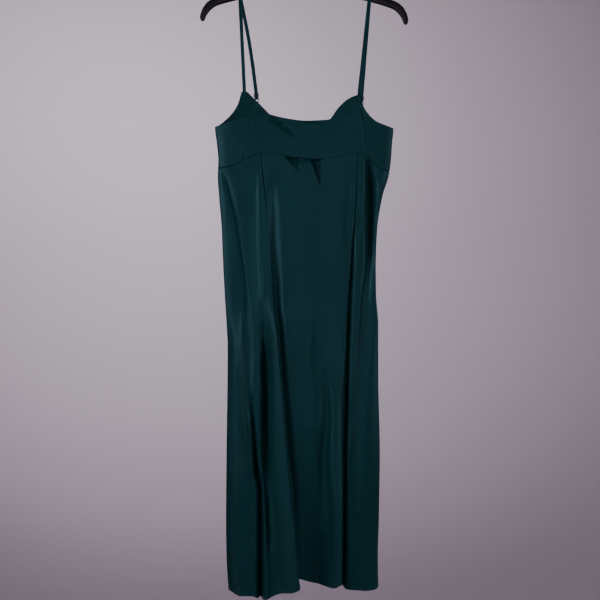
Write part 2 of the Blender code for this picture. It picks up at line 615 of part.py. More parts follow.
def build_hanger(plastic, steel):
    """The arms with a notch for each strap, the socket, and the wire hook. All tilt about the rail."""
    half = arm_path()
    stations = [(-x, z, h) for x, z, h in reversed(half[1:])] + half
    rings = []
    for i, (x, z, half_height) in enumerate(stations):
        before = stations[max(i - 1, 0)]
        after = stations[min(i + 1, len(stations) - 1)]
        slope = -math.atan2(after[1] - before[1], after[0] - before[0])
        if abs(abs(x) - STRAP_X_ON_ARM) < NOTCH_LEVEL_REACH:
            slope = 0.0
        rings.append(arm_ring(x, z, half_height, slope))
    arms = sweep("hanger_body", rings, plastic)
    height = SOCKET_TOP - ARM[0].z
    bpy.ops.mesh.primitive_cone_add(
        vertices=20, radius1=SOCKET_RADIUS * SOCKET_FLARE, radius2=SOCKET_RADIUS, depth=height,
        location=(0, 0, ARM[0].z + height / 2))
    join_solid(arms, bpy.context.object)
    arms.data.transform(Matrix.Rotation(ARM_TILT, 4, "Y"))

    hook = sweep("hanger_hook", wire_rings(hook_path(), HOOK_WIRE / 2, 8), steel)
    hook.data.transform(Matrix.Rotation(ARM_TILT, 4, "Y"))


def hook_path():
    """Up from the socket, out to the right, and round over the rail to a tip on the left."""
    radius = HOOK_INNER_RADIUS + HOOK_WIRE / 2
    bend = [
        (radius * math.cos(angle), 0, -HOOK_INNER_RADIUS + radius * math.sin(angle))
        for angle in np.linspace(*HOOK_BEND, 26)
    ]
    shank = [(0, 0, SOCKET_TOP + SEAM_GAP)] + [(x, 0, z) for x, z in HOOK_SHANK]
    return np.array(shank + bend)


# ---------------------------------------------------------------- straps and their fittings


def tilted(x, z):
    """A point of the hanger after its tilt about the rail."""
    point = Matrix.Rotation(ARM_TILT, 3, "Y") @ Vector((x, 0, z))
    return point.x, point.z


def surface_y(face, x, drop):
    return float(cloth_point(face, turn_at(face, x, drop), np.asarray(drop, float))[1])


def wrap_angle(centre_z, radius, y, z):
    """How far round the arm, from its top, a taut strap to (y, z) leaves it."""
    distance = math.hypot(y, z - centre_z)
    below = math.atan2(abs(y), centre_z - z)
    return math.pi - below - math.acos(radius / distance)


def strap_over_arm(arm_x, back_end, front_end):
    """The strap's middle line from its back end up, over the arm, and down to its front end."""
    top_x, floor = tilted(arm_x, notch_floor())
    centre = floor - ARM_THICKNESS / 2
    radius = ARM_THICKNESS / 2 + STRAP_PLAY + STRAP_THICKNESS / 2
    leave_back = wrap_angle(centre, radius, back_end[1], back_end[2])
    leave_front = wrap_angle(centre, radius, front_end[1], front_end[2])
    arc = np.array([
        (top_x, radius * math.sin(angle), centre + radius * math.cos(angle))
        for angle in np.linspace(-leave_back, leave_front, 11)
    ])
    shares = np.linspace(0, 1, 9)[:, None]
    bow = np.sin(math.pi * shares) * STRAP_BOW * np.array([1.0, 0, 0])
    back_run = back_end + (arc[0] - back_end) * shares + bow * (1 if arm_x < 0 else 0)
    front_run = arc[-1] + (front_end - arc[-1]) * shares
    return np.concatenate([back_run[:-1], arc, front_run[1:]])


def fitting_weave(slider, ring):
    """The strap's lower end: through the slider, round the ring's top wire, and up behind to its end.

    In front of the slider's top and bottom wires and behind its middle one.
    """
    clear = SLIDER_WIRE / 2 + STRAP_PLAY + STRAP_THICKNESS / 2
    pitch = (SLIDER_HEIGHT - SLIDER_WIRE) / 2
    down = [(slider[0], slider[1] + clear * math.cos(math.pi * share), slider[2] + pitch * share)
            for share in np.linspace(1, -1, 13)]
    loop_radius = RING_WIRE / 2 + STRAP_PLAY + STRAP_THICKNESS / 2
    wire_z = ring[2] + (RING_HEIGHT - RING_WIRE) / 2
    turn = [(ring[0], ring[1] - loop_radius * math.cos(angle), wire_z - loop_radius * math.sin(angle))
            for angle in np.linspace(0, math.pi, 7)]
    end = [(slider[0], slider[1] + clear * 1.15, slider[2] - pitch * 0.98),
           (slider[0], slider[1] + clear * 1.25, slider[2] - pitch * 0.72)]
    return np.array(end[::-1] + turn[::-1] + down[::-1])


def rounded_loop(width, height, corner, centre):
    """The middle line of a round-cornered rectangular wire loop, in a plane of constant y."""
    points = []
    for number, (side_x, side_z) in enumerate(((1, 1), (-1, 1), (-1, -1), (1, -1))):
        for step in range(4):
            angle = math.pi / 2 * (number + step / 3)
            points.append((centre[0] + side_x * (width / 2 - corner) + corner * math.cos(angle), centre[1],
                           centre[2] + side_z * (height / 2 - corner) + corner * math.sin(angle)))
    return np.array(points)


def build_strap(side, ends, satin, coated):
    """A strap with its slider, its ring, and the tab that sews the ring to the back."""
    arm_x = ends["arm"]
    back_x, back_drop = ends["back"]
    front_x, front_drop = ends["front"]
    back_y = surface_y(BACK, back_x, back_drop)
    front_y = surface_y(FRONT, front_x, front_drop)
    lean = FITTINGS_LEAN if arm_x > 0 else -FITTINGS_LEAN
    tab_foot = np.array([back_x, back_y, -back_drop + SEAM_GAP])
    ring = tab_foot + np.array([lean * RING_TO_CLOTH, RING_STANDS_IN, RING_TO_CLOTH])
    slider = ring + np.array([lean * SLIDER_TO_RING, SLIDER_STANDS_IN, SLIDER_TO_RING])

    pitch = (SLIDER_HEIGHT - SLIDER_WIRE) / 2
    weave = fitting_weave(slider, ring)
    above = slider + np.array([lean * WEAVE_LEAD, WEAVE_LEAD_IN, pitch + WEAVE_LEAD])
    front_end = np.array([front_x, front_y, -front_drop + SEAM_GAP])
    path = np.concatenate([weave, strap_over_arm(arm_x, above, front_end)])
    sweep("strap_" + side, ribbon_rings(path, STRAP_THICKNESS), satin)

    loop_radius = RING_WIRE / 2 + STRAP_PLAY + STRAP_THICKNESS / 2
    wire_z = ring[2] - (RING_HEIGHT - RING_WIRE) / 2
    over = [(ring[0], ring[1] - loop_radius * math.cos(angle), wire_z + loop_radius * math.sin(angle))
            for angle in np.linspace(0, math.pi, 7)]
    spread = STRAP_THICKNESS / 2 + STRAP_PLAY / 2
    foot = [(back_x, back_y - spread, tab_foot[2]), (back_x, back_y + spread, tab_foot[2])]
    tab = np.array(foot[:1] + over + foot[1:])
    sweep("strap_tab_" + side, ribbon_rings(tab, STRAP_THICKNESS), satin)

    loop = rounded_loop(RING_WIDTH - RING_WIRE, RING_HEIGHT - RING_WIRE, RING_CORNER, ring)
    sweep("strap_ring_" + side, wire_rings(loop, RING_WIRE / 2, 6, loop=True), coated, loop=True)

    loop = rounded_loop(SLIDER_WIDTH - SLIDER_WIRE, SLIDER_HEIGHT - SLIDER_WIRE, SLIDER_CORNER, slider)
    frame = sweep("strap_slider_" + side, wire_rings(loop, SLIDER_WIRE / 2, 6, loop=True), coated, loop=True)
    reach = (SLIDER_WIDTH - SLIDER_WIRE) / 2
    bar = [(slider[0] + reach * share, slider[1], slider[2]) for share in (-1, 0, 1)]
    join_solid(frame, sweep("bar", wire_rings(bar, SLIDER_WIRE / 2 * SLIDER_BAR, 6), coated))


# ---------------------------------------------------------------- all of it


def main():
    for obj in list(bpy.data.objects):
        bpy.data.objects.remove(obj)
    satin = make_material("satin", (0.005, 0.037, 0.042), 0.42)
    coated = make_material("coated_metal", (0.004, 0.020, 0.020), 0.35, 0.6)
    plastic = make_material("hanger_plastic", (0.010, 0.010, 0.011), 0.42)
    steel = make_material("hook_steel", (0.60, 0.60, 0.62), 0.25, 1.0)
    build_dress(satin)
    build_hanger(plastic, steel)
    for side, ends in STRAP_ENDS.items():
        build_strap(side, ends, satin, coated)


main()
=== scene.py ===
"""The looks of the satin slip dress on its hanger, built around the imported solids.

Metres, +Z up, in the solids' own frame: the origin is inside the hook's bend, the back of the dress faces
-Y, and a "drop" is a distance below the origin, so z = -drop.

Each panel of the dress is a thin shell on the form of its solid. The form is a flattened tube with folds,
each a row of a table. On top of the solids' folds lie the creases, darts, seams and the slack of the cloth.
"""

import math
from collections import namedtuple

import bmesh
import bpy
import numpy as np
from mathutils import Matrix, Vector


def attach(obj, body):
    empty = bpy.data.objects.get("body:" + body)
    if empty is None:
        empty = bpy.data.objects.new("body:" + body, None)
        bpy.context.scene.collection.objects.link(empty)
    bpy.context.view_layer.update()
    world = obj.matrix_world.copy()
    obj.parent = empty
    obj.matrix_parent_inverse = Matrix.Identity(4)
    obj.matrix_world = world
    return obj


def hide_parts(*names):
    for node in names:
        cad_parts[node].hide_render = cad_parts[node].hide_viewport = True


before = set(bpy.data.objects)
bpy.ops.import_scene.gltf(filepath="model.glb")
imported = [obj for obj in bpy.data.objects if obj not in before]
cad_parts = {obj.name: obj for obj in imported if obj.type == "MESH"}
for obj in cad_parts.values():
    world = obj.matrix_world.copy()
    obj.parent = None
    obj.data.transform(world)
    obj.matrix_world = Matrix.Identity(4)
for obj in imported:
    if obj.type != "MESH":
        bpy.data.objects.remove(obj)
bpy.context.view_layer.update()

# ---------------------------------------------------------------- driving sizes, as in the solids

BACK = -1
FRONT = 1
# Folds fade out towards the side seams, and are whole where the sine of the turn is above this.
FOLDS_CLEAR_OF_SIDE = 0.45
# The side seams lie this far behind the hanger's plane, so the back hangs flatter than the front.
SIDE_SEAMS_BACK = 0.012
SEAM_GAP = 0.0003

STRAP_WIDTH = 0.0074
STRAP_THICKNESS = 0.0011
STRAP_PLAY = 0.0003
STRAP_X_ON_ARM = 0.134
STRAP_BOW = 0.003
STRAP_ENDS = {
    "left": {"arm": -STRAP_X_ON_ARM, "back": (-0.0986, 0.3450), "front": (-0.1276, 0.3050)},
    "right": {"arm": STRAP_X_ON_ARM, "back": (0.1120, 0.3500), "front": (0.1120, 0.3120)},
}
RING_WIDTH = 0.0112
RING_HEIGHT = 0.0078
RING_WIRE = 0.0013
RING_CORNER = 0.0022
RING_TO_CLOTH = 0.0086
RING_STANDS_IN = 0.0008
SLIDER_WIDTH = 0.0114
SLIDER_HEIGHT = 0.0088
SLIDER_WIRE = 0.0012
SLIDER_CORNER = 0.0010
SLIDER_TO_RING = 0.0104
SLIDER_STANDS_IN = 0.0010
FITTINGS_LEAN = 0.10
WEAVE_LEAD = 0.0040
WEAVE_LEAD_IN = 0.0004

ARM_THICKNESS = 0.009
ARM_TILT = math.radians(1.0)
NOTCH_DEPTH = 0.0025
NOTCH_REACH = 0.0062
SOCKET_RADIUS = 0.0065
SOCKET_FLARE = 1.25
SOCKET_TOP = -0.0590
HOOK_WIRE = 0.0035
HOOK_INNER_RADIUS = 0.018
HOOK_BEND = (math.radians(-50), math.radians(196))
HOOK_SHANK = ((0.0000, -0.0530), (0.0004, -0.0478), (0.0028, -0.0424), (0.0072, -0.0378))

# ---------------------------------------------------------------- the looks' own sizes

MILLIMETRE = 0.001
CLOTH_HALF = 0.00036
# How deep the ends of straps and tabs are sewn in, and how far behind the cloth a strap's end lies.
STRAP_SEWN_IN = 0.0080
TAB_SEWN_IN = 0.0060
STRAP_BEHIND_CLOTH = 3 * CLOTH_HALF
# The hem's turn, the facing of an edge and a lap are extra cloth inside, as thick and deep as this.
HEM_EXTRA = 0.0006
HEM_TURN_UP = 0.0095
FACING_EXTRA = 0.0005
FACING_DEPTH = 0.0060
LAP_EXTRA = 0.0016
LAP_REACH = 0.0060
LAP_RISE = 0.0007
# The extra cloth thins out over this length where it ends.
INNER_STEP = 0.0006
# A free edge gets round over this length, down to this share of its thickness.
EDGE_ROUND = 0.0008
EDGE_THINNEST = 0.3
STITCH_LINE = 0.0090

# ---------------------------------------------------------------- tables, as in the solids

Section = namedtuple("Section", "drop left right back_depth front_depth")
SECTIONS = (
    Section(0.300, -0.1860, 0.1810, 0.030, 0.037),
    Section(0.387, -0.1858, 0.1805, 0.033, 0.041),
    Section(0.420, -0.1820, 0.1775, 0.034, 0.042),
    Section(0.455, -0.1788, 0.1750, 0.034, 0.041),
    Section(0.488, -0.1800, 0.1700, 0.032, 0.0405),
    Section(0.527, -0.1775, 0.1580, 0.030, 0.0380),
    Section(0.595, -0.1720, 0.1470, 0.028, 0.0360),
    Section(0.669, -0.1690, 0.1440, 0.027, 0.0335),
    Section(0.727, -0.1660, 0.1445, 0.027, 0.0330),
    Section(0.793, -0.1618, 0.1490, 0.029, 0.0345),
    Section(0.834, -0.1598, 0.1490, 0.030, 0.035),
    Section(0.902, -0.1600, 0.1490, 0.032, 0.036),
    Section(1.050, -0.1620, 0.1520, 0.035, 0.039),
    Section(1.195, -0.1630, 0.1500, 0.037, 0.041),
    Section(1.263, -0.1620, 0.1480, 0.038, 0.041),
    Section(1.345, -0.1575, 0.1490, 0.039, 0.042),
)

# A fold follows its stations, each (drop, x, height). It fades over left_width and right_width to either
# side of its line, and lean pushes its crest sideways by that share of its height.
Fold = namedtuple("Fold", "name left_width right_width lean stations")

BACK_FOLDS = (
    Fold("side crease", 0.006, 0.006, 0, (
        (0.47, -0.172, 0), (0.52, -0.156, -0.003), (0.583, -0.1415, -0.003), (0.66, -0.1305, -0.003),
        (0.741, -0.1218, -0.004), (0.822, -0.1152, -0.003), (0.93, -0.11, 0))),
    Fold("left ridge", 0.01, 0.01, 0, (
        (0.76, -0.132, 0), (0.833, -0.133, 0.003), (0.944, -0.13, 0.006), (1.025, -0.1212, 0.007),
        (1.12, -0.118, 0.004), (1.22, -0.114, 0))),
    Fold("left low valley", 0.005, 0.005, 0, (
        (0.94, -0.111, 0), (0.984, -0.1067, -0.005), (1.025, -0.1037, -0.009), (1.066, -0.1012, -0.013),
        (1.096, -0.0984, -0.016), (1.126, -0.093, -0.019), (1.217, -0.0918, -0.02),
        (1.345, -0.0922, -0.021))),
    Fold("narrow ridge", 0.005, 0.006, 0, (
        (0.88, -0.112, 0), (0.944, -0.106, 0.002), (1.025, -0.1, 0.004), (1.066, -0.0965, 0.005),
        (1.096, -0.09, 0.004), (1.187, -0.0845, 0.002), (1.27, -0.08, 0.004), (1.345, -0.077, 0.004))),
    Fold("left deep valley", 0.0055, 0.01, 0, (
        (0.73, -0.089, 0), (0.782, -0.0872, -0.005), (0.822, -0.086, -0.01), (0.863, -0.0856, -0.015),
        (0.944, -0.0842, -0.019), (0.984, -0.0842, -0.02), (1.025, -0.0828, -0.018),
        (1.066, -0.0825, -0.016), (1.096, -0.08, -0.011), (1.16, -0.078, -0.006), (1.22, -0.076, -0.004),
        (1.3, -0.074, 0))),
    Fold("main roll", 0.02, 0.006, 0.6, (
        (0.47, -0.083, 0), (0.56, -0.081, 0.003), (0.66, -0.077, 0.006), (0.741, -0.0735, 0.009),
        (0.822, -0.0657, 0.012), (0.954, -0.0552, 0.013), (1.045, -0.0486, 0.0135),
        (1.132, -0.0434, 0.01), (1.213, -0.041, 0.005), (1.29, -0.035, 0))),
    Fold("low part of the main roll", 0.02, 0.01, 0.6, (
        (0.99, -0.052, 0), (1.045, -0.0486, 0.001), (1.132, -0.0434, 0.009), (1.213, -0.041, 0.024),
        (1.345, -0.03, 0.036))),
    Fold("valley behind the roll", 0.004, 0.011, 0, (
        (0.47, -0.069, 0), (0.56, -0.066, -0.004), (0.66, -0.0625, -0.0055), (0.741, -0.06, -0.007),
        (0.822, -0.0545, -0.008), (0.903, -0.05, -0.007), (0.984, -0.043, -0.006),
        (1.066, -0.036, -0.006), (1.126, -0.0295, -0.006), (1.217, -0.023, -0.006),
        (1.345, -0.009, -0.005))),
    Fold("centre valley", 0.014, 0.007, 0, (
        (0.83, 0.026, 0), (0.863, 0.026, -0.003), (0.903, 0.036, -0.006), (0.944, 0.041, -0.009),
        (0.984, 0.042, -0.011), (1.025, 0.039, -0.012), (1.066, 0.037, -0.012), (1.126, 0.04, -0.01),
        (1.187, 0.043, -0.008), (1.345, 0.043, -0.006))),
    Fold("centre hollow", 0.036, 0.018, 0, (
        (1.0, 0.02, 0), (1.066, 0.024, -0.005), (1.126, 0.026, -0.01), (1.187, 0.026, -0.016),
        (1.248, 0.024, -0.02), (1.345, 0.022, -0.022))),
    Fold("right roll", 0.03, 0.007, 0.45, (
        (0.8, 0.072, 0), (0.887, 0.069, 0.004), (0.944, 0.068, 0.006), (1.025, 0.0675, 0.008),
        (1.096, 0.067, 0.01), (1.16, 0.066, 0.013), (1.345, 0.0645, 0.014))),
    Fold("right deep valley", 0.0038, 0.0052, 0, (
        (0.56, 0.101, 0), (0.62, 0.097, -0.004), (0.664, 0.095, -0.006), (0.741, 0.0895, -0.008),
        (0.822, 0.0862, -0.01), (0.903, 0.083, -0.011), (0.984, 0.0805, -0.009), (1.066, 0.0765, -0.007),
        (1.126, 0.0765, -0.01), (1.217, 0.0765, -0.013), (1.278, 0.0755, -0.014),
        (1.345, 0.074, -0.014))),
    Fold("right seam valley", 0.0075, 0.013, 0, (
        (0.449, 0.124, 0), (0.482, 0.1292, -0.009), (0.502, 0.1308, -0.015), (0.53, 0.1312, -0.017),
        (0.583, 0.132, -0.017), (0.62, 0.132, -0.015), (0.66, 0.1308, -0.012), (0.701, 0.127, -0.01),
        (0.741, 0.1218, -0.008), (0.822, 0.1172, -0.007), (0.903, 0.1112, -0.005),
        (0.984, 0.104, -0.004), (1.066, 0.0965, -0.005), (1.096, 0.0945, -0.004), (1.14, 0.0945, 0))),
    Fold("right side roll", 0.004, 0.006, 0, (
        (0.49, 0.158, 0), (0.52, 0.153, 0.003), (0.548, 0.1475, 0.002), (0.575, 0.143, 0))),
    Fold("right low ridge", 0.004, 0.005, 0, (
        (0.984, 0.0935, 0), (1.025, 0.09, 0.003), (1.066, 0.087, 0.005), (1.096, 0.0865, 0.005),
        (1.14, 0.087, 0.002), (1.18, 0.087, 0))),
)

FRONT_FOLDS = (
    Fold("left side ridge", 0.014, 0.014, 0, (
        (0.76, -0.122, 0), (0.95, -0.12, 0.005), (1.345, -0.116, 0.009))),
    Fold("left valley", 0.014, 0.016, 0, (
        (0.62, -0.1, 0), (0.76, -0.096, -0.007), (0.95, -0.092, -0.012), (1.345, -0.088, -0.017))),
    Fold("left roll", 0.022, 0.02, -0.45, (
        (0.56, -0.066, 0), (0.74, -0.06, 0.008), (0.98, -0.05, 0.015), (1.345, -0.04, 0.02))),
    Fold("middle valley", 0.016, 0.018, 0, (
        (0.66, -0.02, 0), (0.85, -0.014, -0.008), (1.1, -0.008, -0.013), (1.345, -0.004, -0.017))),
    Fold("middle roll", 0.02, 0.024, 0.35, (
        (0.6, 0.026, 0), (0.82, 0.03, 0.009), (1.08, 0.034, 0.014), (1.345, 0.036, 0.019))),
    Fold("right valley", 0.014, 0.014, 0, (
        (0.58, 0.094, 0), (0.78, 0.088, -0.009), (1.0, 0.084, -0.014), (1.345, 0.08, -0.018))),
    Fold("right ridge", 0.012, 0.014, 0, (
        (0.82, 0.11, 0), (0.96, 0.112, 0.005), (1.345, 0.114, 0.008))),
)
FOLDS = {BACK: BACK_FOLDS, FRONT: FRONT_FOLDS}

# Edges and seams that run across the dress, each as (x, drop).
BACK_TOP = (
    (-0.1858, 0.387), (-0.1546, 0.378), (-0.1234, 0.368), (-0.1071, 0.3565), (-0.1022, 0.3458),
    (-0.0986, 0.345), (-0.095, 0.3458), (-0.088, 0.3555), (-0.0744, 0.3635), (-0.0365, 0.373),
    (0, 0.3775), (0.0392, 0.376), (0.0661, 0.369), (0.0823, 0.363), (0.096, 0.3605), (0.1084, 0.3508),
    (0.112, 0.35), (0.1156, 0.3508), (0.1243, 0.365), (0.1477, 0.379), (0.1805, 0.3905),
)
FRONT_TOP = (
    (-0.1858, 0.387), (-0.1675, 0.37), (-0.1535, 0.354), (-0.1405, 0.332), (-0.1318, 0.306),
    (-0.1276, 0.305), (-0.1232, 0.3062), (-0.1102, 0.3176), (-0.0789, 0.3475), (-0.004, 0.421),
    (0.0535, 0.359), (0.0697, 0.3371), (0.0904, 0.3195), (0.108, 0.3128), (0.112, 0.312),
    (0.1165, 0.3135), (0.1196, 0.332), (0.1295, 0.3505), (0.1422, 0.365), (0.159, 0.3785),
    (0.1805, 0.3905),
)
BACK_BAND_SEAM = (
    (-0.18, 0.473), (-0.1565, 0.469), (-0.1397, 0.4642), (-0.1299, 0.4573), (-0.1124, 0.4495),
    (-0.1014, 0.4446), (-0.088, 0.4426), (-0.0527, 0.4458), (-0.015, 0.4527), (0.0283, 0.4547),
    (0.0661, 0.4512), (0.0823, 0.4472), (0.0959, 0.4425), (0.1176, 0.4445), (0.1325, 0.4593),
    (0.1565, 0.4746), (0.174, 0.4785),
)
FRONT_BAND_SEAM = (
    (-0.18, 0.473), (-0.09, 0.462), (0, 0.458), (0.09, 0.464), (0.174, 0.4785),
)
BACK_HEM = (
    (-0.158, 1.337), (-0.151, 1.343), (-0.139, 1.344), (-0.115, 1.3425), (-0.105, 1.343),
    (-0.097, 1.3485), (-0.091, 1.3505), (-0.085, 1.3495), (-0.079, 1.3473), (-0.061, 1.3375),
    (-0.043, 1.3275), (-0.031, 1.317), (-0.015, 1.3095), (-0.001, 1.3135), (0.017, 1.319),
    (0.045, 1.3242), (0.055, 1.3215), (0.066, 1.3145), (0.071, 1.319), (0.077, 1.3265), (0.095, 1.33),
    (0.128, 1.3336), (0.143, 1.3322), (0.149, 1.329),
)
FRONT_HEM = (
    (-0.158, 1.337), (-0.1, 1.326), (-0.054, 1.335), (-0.018, 1.324), (0.048, 1.333), (0.076, 1.323),
    (0.149, 1.329),
)

# The shaped seams of the back band, each as (drop, x).
BACK_SEAM_LEFT = (
    (0.345, -0.0986), (0.361, -0.1027), (0.376, -0.1122), (0.4085, -0.1204), (0.4355, -0.1256),
    (0.457, -0.1297), (0.56, -0.138),
)
BACK_SEAM_RIGHT = (
    (0.35, 0.112), (0.372, 0.1161), (0.403, 0.1215), (0.433, 0.1256), (0.46, 0.1323), (0.583, 0.1323),
)

ArmStation = namedtuple("ArmStation", "x z half_height")
ARM = (
    ArmStation(0.0000, -0.0800, 0.0105),
    ArmStation(0.0120, -0.0832, 0.0100),
    ArmStation(0.0300, -0.0882, 0.0085),
    ArmStation(0.0700, -0.0991, 0.0083),
    ArmStation(0.1050, -0.1088, 0.0083),
    ArmStation(0.1820, -0.1295, 0.0085),
    ArmStation(0.1933, -0.1360, 0.0085),
    ArmStation(0.2025, -0.1465, 0.0076),
    ArmStation(0.2075, -0.1565, 0.0065),
    ArmStation(0.2092, -0.1635, 0.0060),
    ArmStation(0.2093, -0.1665, 0.0050),
    ArmStation(0.2094, -0.1690, 0.0028),
)

# ---------------------------------------------------------------- creases, darts and dents

# Creases are narrower than folds and have a sharper crest. Their rows read as the folds' rows do.
BACK_CREASES = (
    Fold("ridge beside the side crease", 0.0022, 0.004, 0, (
        (0.5, -0.158, 0), (0.548, -0.144, 0.001), (0.583, -0.133, 0.0016), (0.628, -0.13, 0.0018),
        (0.7, -0.12, 0.0014), (0.78, -0.114, 0))),
    Fold("long bright ridge", 0.0028, 0.0028, 0, (
        (0.47, -0.096, 0), (0.529, -0.0955, 0.0022), (0.589, -0.0948, 0.0026), (0.66, -0.0935, 0.0028),
        (0.701, -0.0895, 0.0024), (0.76, -0.087, 0))),
    Fold("shadow beside the left dart", 0.006, 0.0075, 0, (
        (0.485, -0.072, 0), (0.529, -0.07, -0.0018), (0.559, -0.068, -0.0022), (0.589, -0.0662, -0.0022),
        (0.64, -0.064, -0.0016), (0.7, -0.06, -0.001), (0.76, -0.057, 0))),
    Fold("left ridge line", 0.0034, 0.003, 0, (
        (0.74, -0.131, 0), (0.8, -0.13, 0.0014), (0.863, -0.1296, 0.0028), (0.903, -0.129, 0.0034),
        (0.944, -0.127, 0.0036), (0.984, -0.1222, 0.0034), (1.025, -0.119, 0.0034),
        (1.066, -0.119, 0.0024), (1.12, -0.116, 0))),
    Fold("valley right of the left ridge", 0.0034, 0.0044, 0, (
        (0.8, -0.115, 0), (0.84, -0.1148, -0.0012), (0.903, -0.114, -0.0018), (0.944, -0.1108, -0.0034),
        (0.984, -0.107, -0.005), (1.025, -0.104, -0.005), (1.066, -0.1012, -0.004), (1.11, -0.097, 0))),
    Fold("narrow ridge line", 0.0016, 0.0022, 0, (
        (0.9, -0.109, 0), (0.944, -0.106, 0.0014), (1.025, -0.1005, 0.0018), (1.066, -0.0965, 0.0018),
        (1.096, -0.09, 0.0012), (1.13, -0.086, 0))),
    Fold("floor of the left low valley", 0.0028, 0.0028, 0, (
        (0.984, -0.1067, 0), (1.025, -0.1037, -0.004), (1.066, -0.1012, -0.006), (1.126, -0.093, -0.008),
        (1.217, -0.0918, -0.009), (1.345, -0.0922, -0.009))),
    Fold("floor of the left deep valley", 0.0028, 0.005, 0, (
        (0.822, -0.0865, 0), (0.863, -0.086, -0.004), (0.944, -0.0846, -0.008), (0.984, -0.0846, -0.008),
        (1.025, -0.0832, -0.006), (1.096, -0.0805, 0))),
    Fold("line on the flank", 0.0024, 0.0036, 0, (
        (1.09, -0.083, 0), (1.126, -0.0816, -0.003), (1.157, -0.0787, -0.005), (1.187, -0.0777, -0.006),
        (1.217, -0.0748, -0.005), (1.26, -0.073, 0))),
    Fold("hollow of the flank", 0.009, 0.008, 0, (
        (1.08, -0.07, 0), (1.126, -0.069, -0.004), (1.157, -0.068, -0.005), (1.187, -0.066, -0.006),
        (1.248, -0.062, -0.007), (1.29, -0.059, -0.007), (1.345, -0.054, -0.003))),
    Fold("slant on the roll's flank", 0.0028, 0.006, 0, (
        (1.24, -0.064, 0), (1.275, -0.0547, 0.0012), (1.315, -0.047, 0.0014), (1.345, -0.041, 0.001))),
    Fold("main roll line", 0.004, 0.0014, 0, (
        (0.76, -0.0712, 0), (0.822, -0.065, 0.0016), (0.863, -0.0618, 0.0022), (0.954, -0.0545, 0.0024),
        (1.045, -0.048, 0.0028), (1.132, -0.0428, 0.0032), (1.213, -0.0403, 0.0032),
        (1.345, -0.0293, 0.003))),
    Fold("soft centre line", 0.005, 0.004, 0, (
        (0.74, 0.022, 0), (0.79, 0.022, -0.001), (0.845, 0.021, -0.0022), (0.88, 0.025, -0.001),
        (0.9, 0.028, 0))),
    Fold("centre low smudge", 0.005, 0.0036, 0, (
        (1.205, 0.018, 0), (1.225, 0.025, -0.0014), (1.235, 0.029, 0))),
    Fold("right roll line", 0.0042, 0.0014, 0, (
        (0.86, 0.0715, 0), (0.944, 0.069, 0.002), (0.984, 0.0686, 0.003), (1.066, 0.0682, 0.0036),
        (1.2, 0.0668, 0.0036), (1.345, 0.0655, 0.003))),
    Fold("floor of the right deep valley", 0.002, 0.0034, 0, (
        (0.6, 0.0975, 0), (0.7, 0.0925, -0.003), (0.822, 0.0862, -0.004), (0.944, 0.082, -0.005),
        (1.066, 0.0768, -0.004), (1.217, 0.0765, -0.007), (1.345, 0.074, -0.008))),
    Fold("floor of the right seam valley", 0.005, 0.008, 0, (
        (0.456, 0.126, 0), (0.47, 0.129, -0.008), (0.53, 0.1312, -0.007), (0.62, 0.1318, -0.005),
        (0.68, 0.129, -0.001), (0.76, 0.121, 0))),
    Fold("hollow left of the right dart", 0.006, 0.003, 0, (
        (0.49, 0.089, 0), (0.529, 0.0885, -0.0016), (0.559, 0.0865, -0.0022), (0.589, 0.085, -0.0024),
        (0.62, 0.088, -0.0016), (0.66, 0.09, 0))),
    Fold("ridge right of the right dart", 0.003, 0.003, 0, (
        (0.52, 0.113, 0), (0.546, 0.1155, 0.0016), (0.58, 0.1175, 0.0018), (0.61, 0.117, 0))),
    Fold("dent right of the right dart", 0.0036, 0.0036, 0, (
        (0.55, 0.107, 0), (0.585, 0.109, -0.0018), (0.62, 0.108, 0))),
    Fold("right upper ridge", 0.005, 0.004, 0, (
        (0.68, 0.112, 0), (0.74, 0.109, 0.0012), (0.83, 0.104, 0.0014), (0.93, 0.099, 0.0012),
        (1.0, 0.096, 0))),
    Fold("right hollow", 0.006, 0.007, 0, (
        (1.09, 0.0945, 0), (1.126, 0.0945, -0.004), (1.187, 0.095, -0.003), (1.23, 0.094, 0))),
    Fold("right slanting crease", 0.0026, 0.005, 0, (
        (1.15, 0.085, 0), (1.166, 0.096, 0.0016), (1.19, 0.117, 0.0018), (1.212, 0.136, 0))),
    Fold("right low dent", 0.009, 0.009, 0, (
        (1.18, 0.096, 0), (1.23, 0.101, -0.0016), (1.345, 0.105, -0.0024))),
    Fold("left side panel swell", 0.01, 0.012, 0, (
        (1.04, -0.138, 0), (1.16, -0.14, 0.002), (1.345, -0.136, 0.003))),
    Fold("slanting dent in the band", 0.008, 0.005, 0, (
        (0.369, -0.07, 0), (0.3747, -0.064, -0.004), (0.388, -0.047, -0.0065), (0.4, -0.0315, -0.0045),
        (0.41, -0.02, 0))),
    Fold("slack under the neckline", 0.018, 0.018, 0, (
        (0.3785, 0.012, 0), (0.3815, 0.012, -0.0034), (0.385, 0.012, 0))),
)
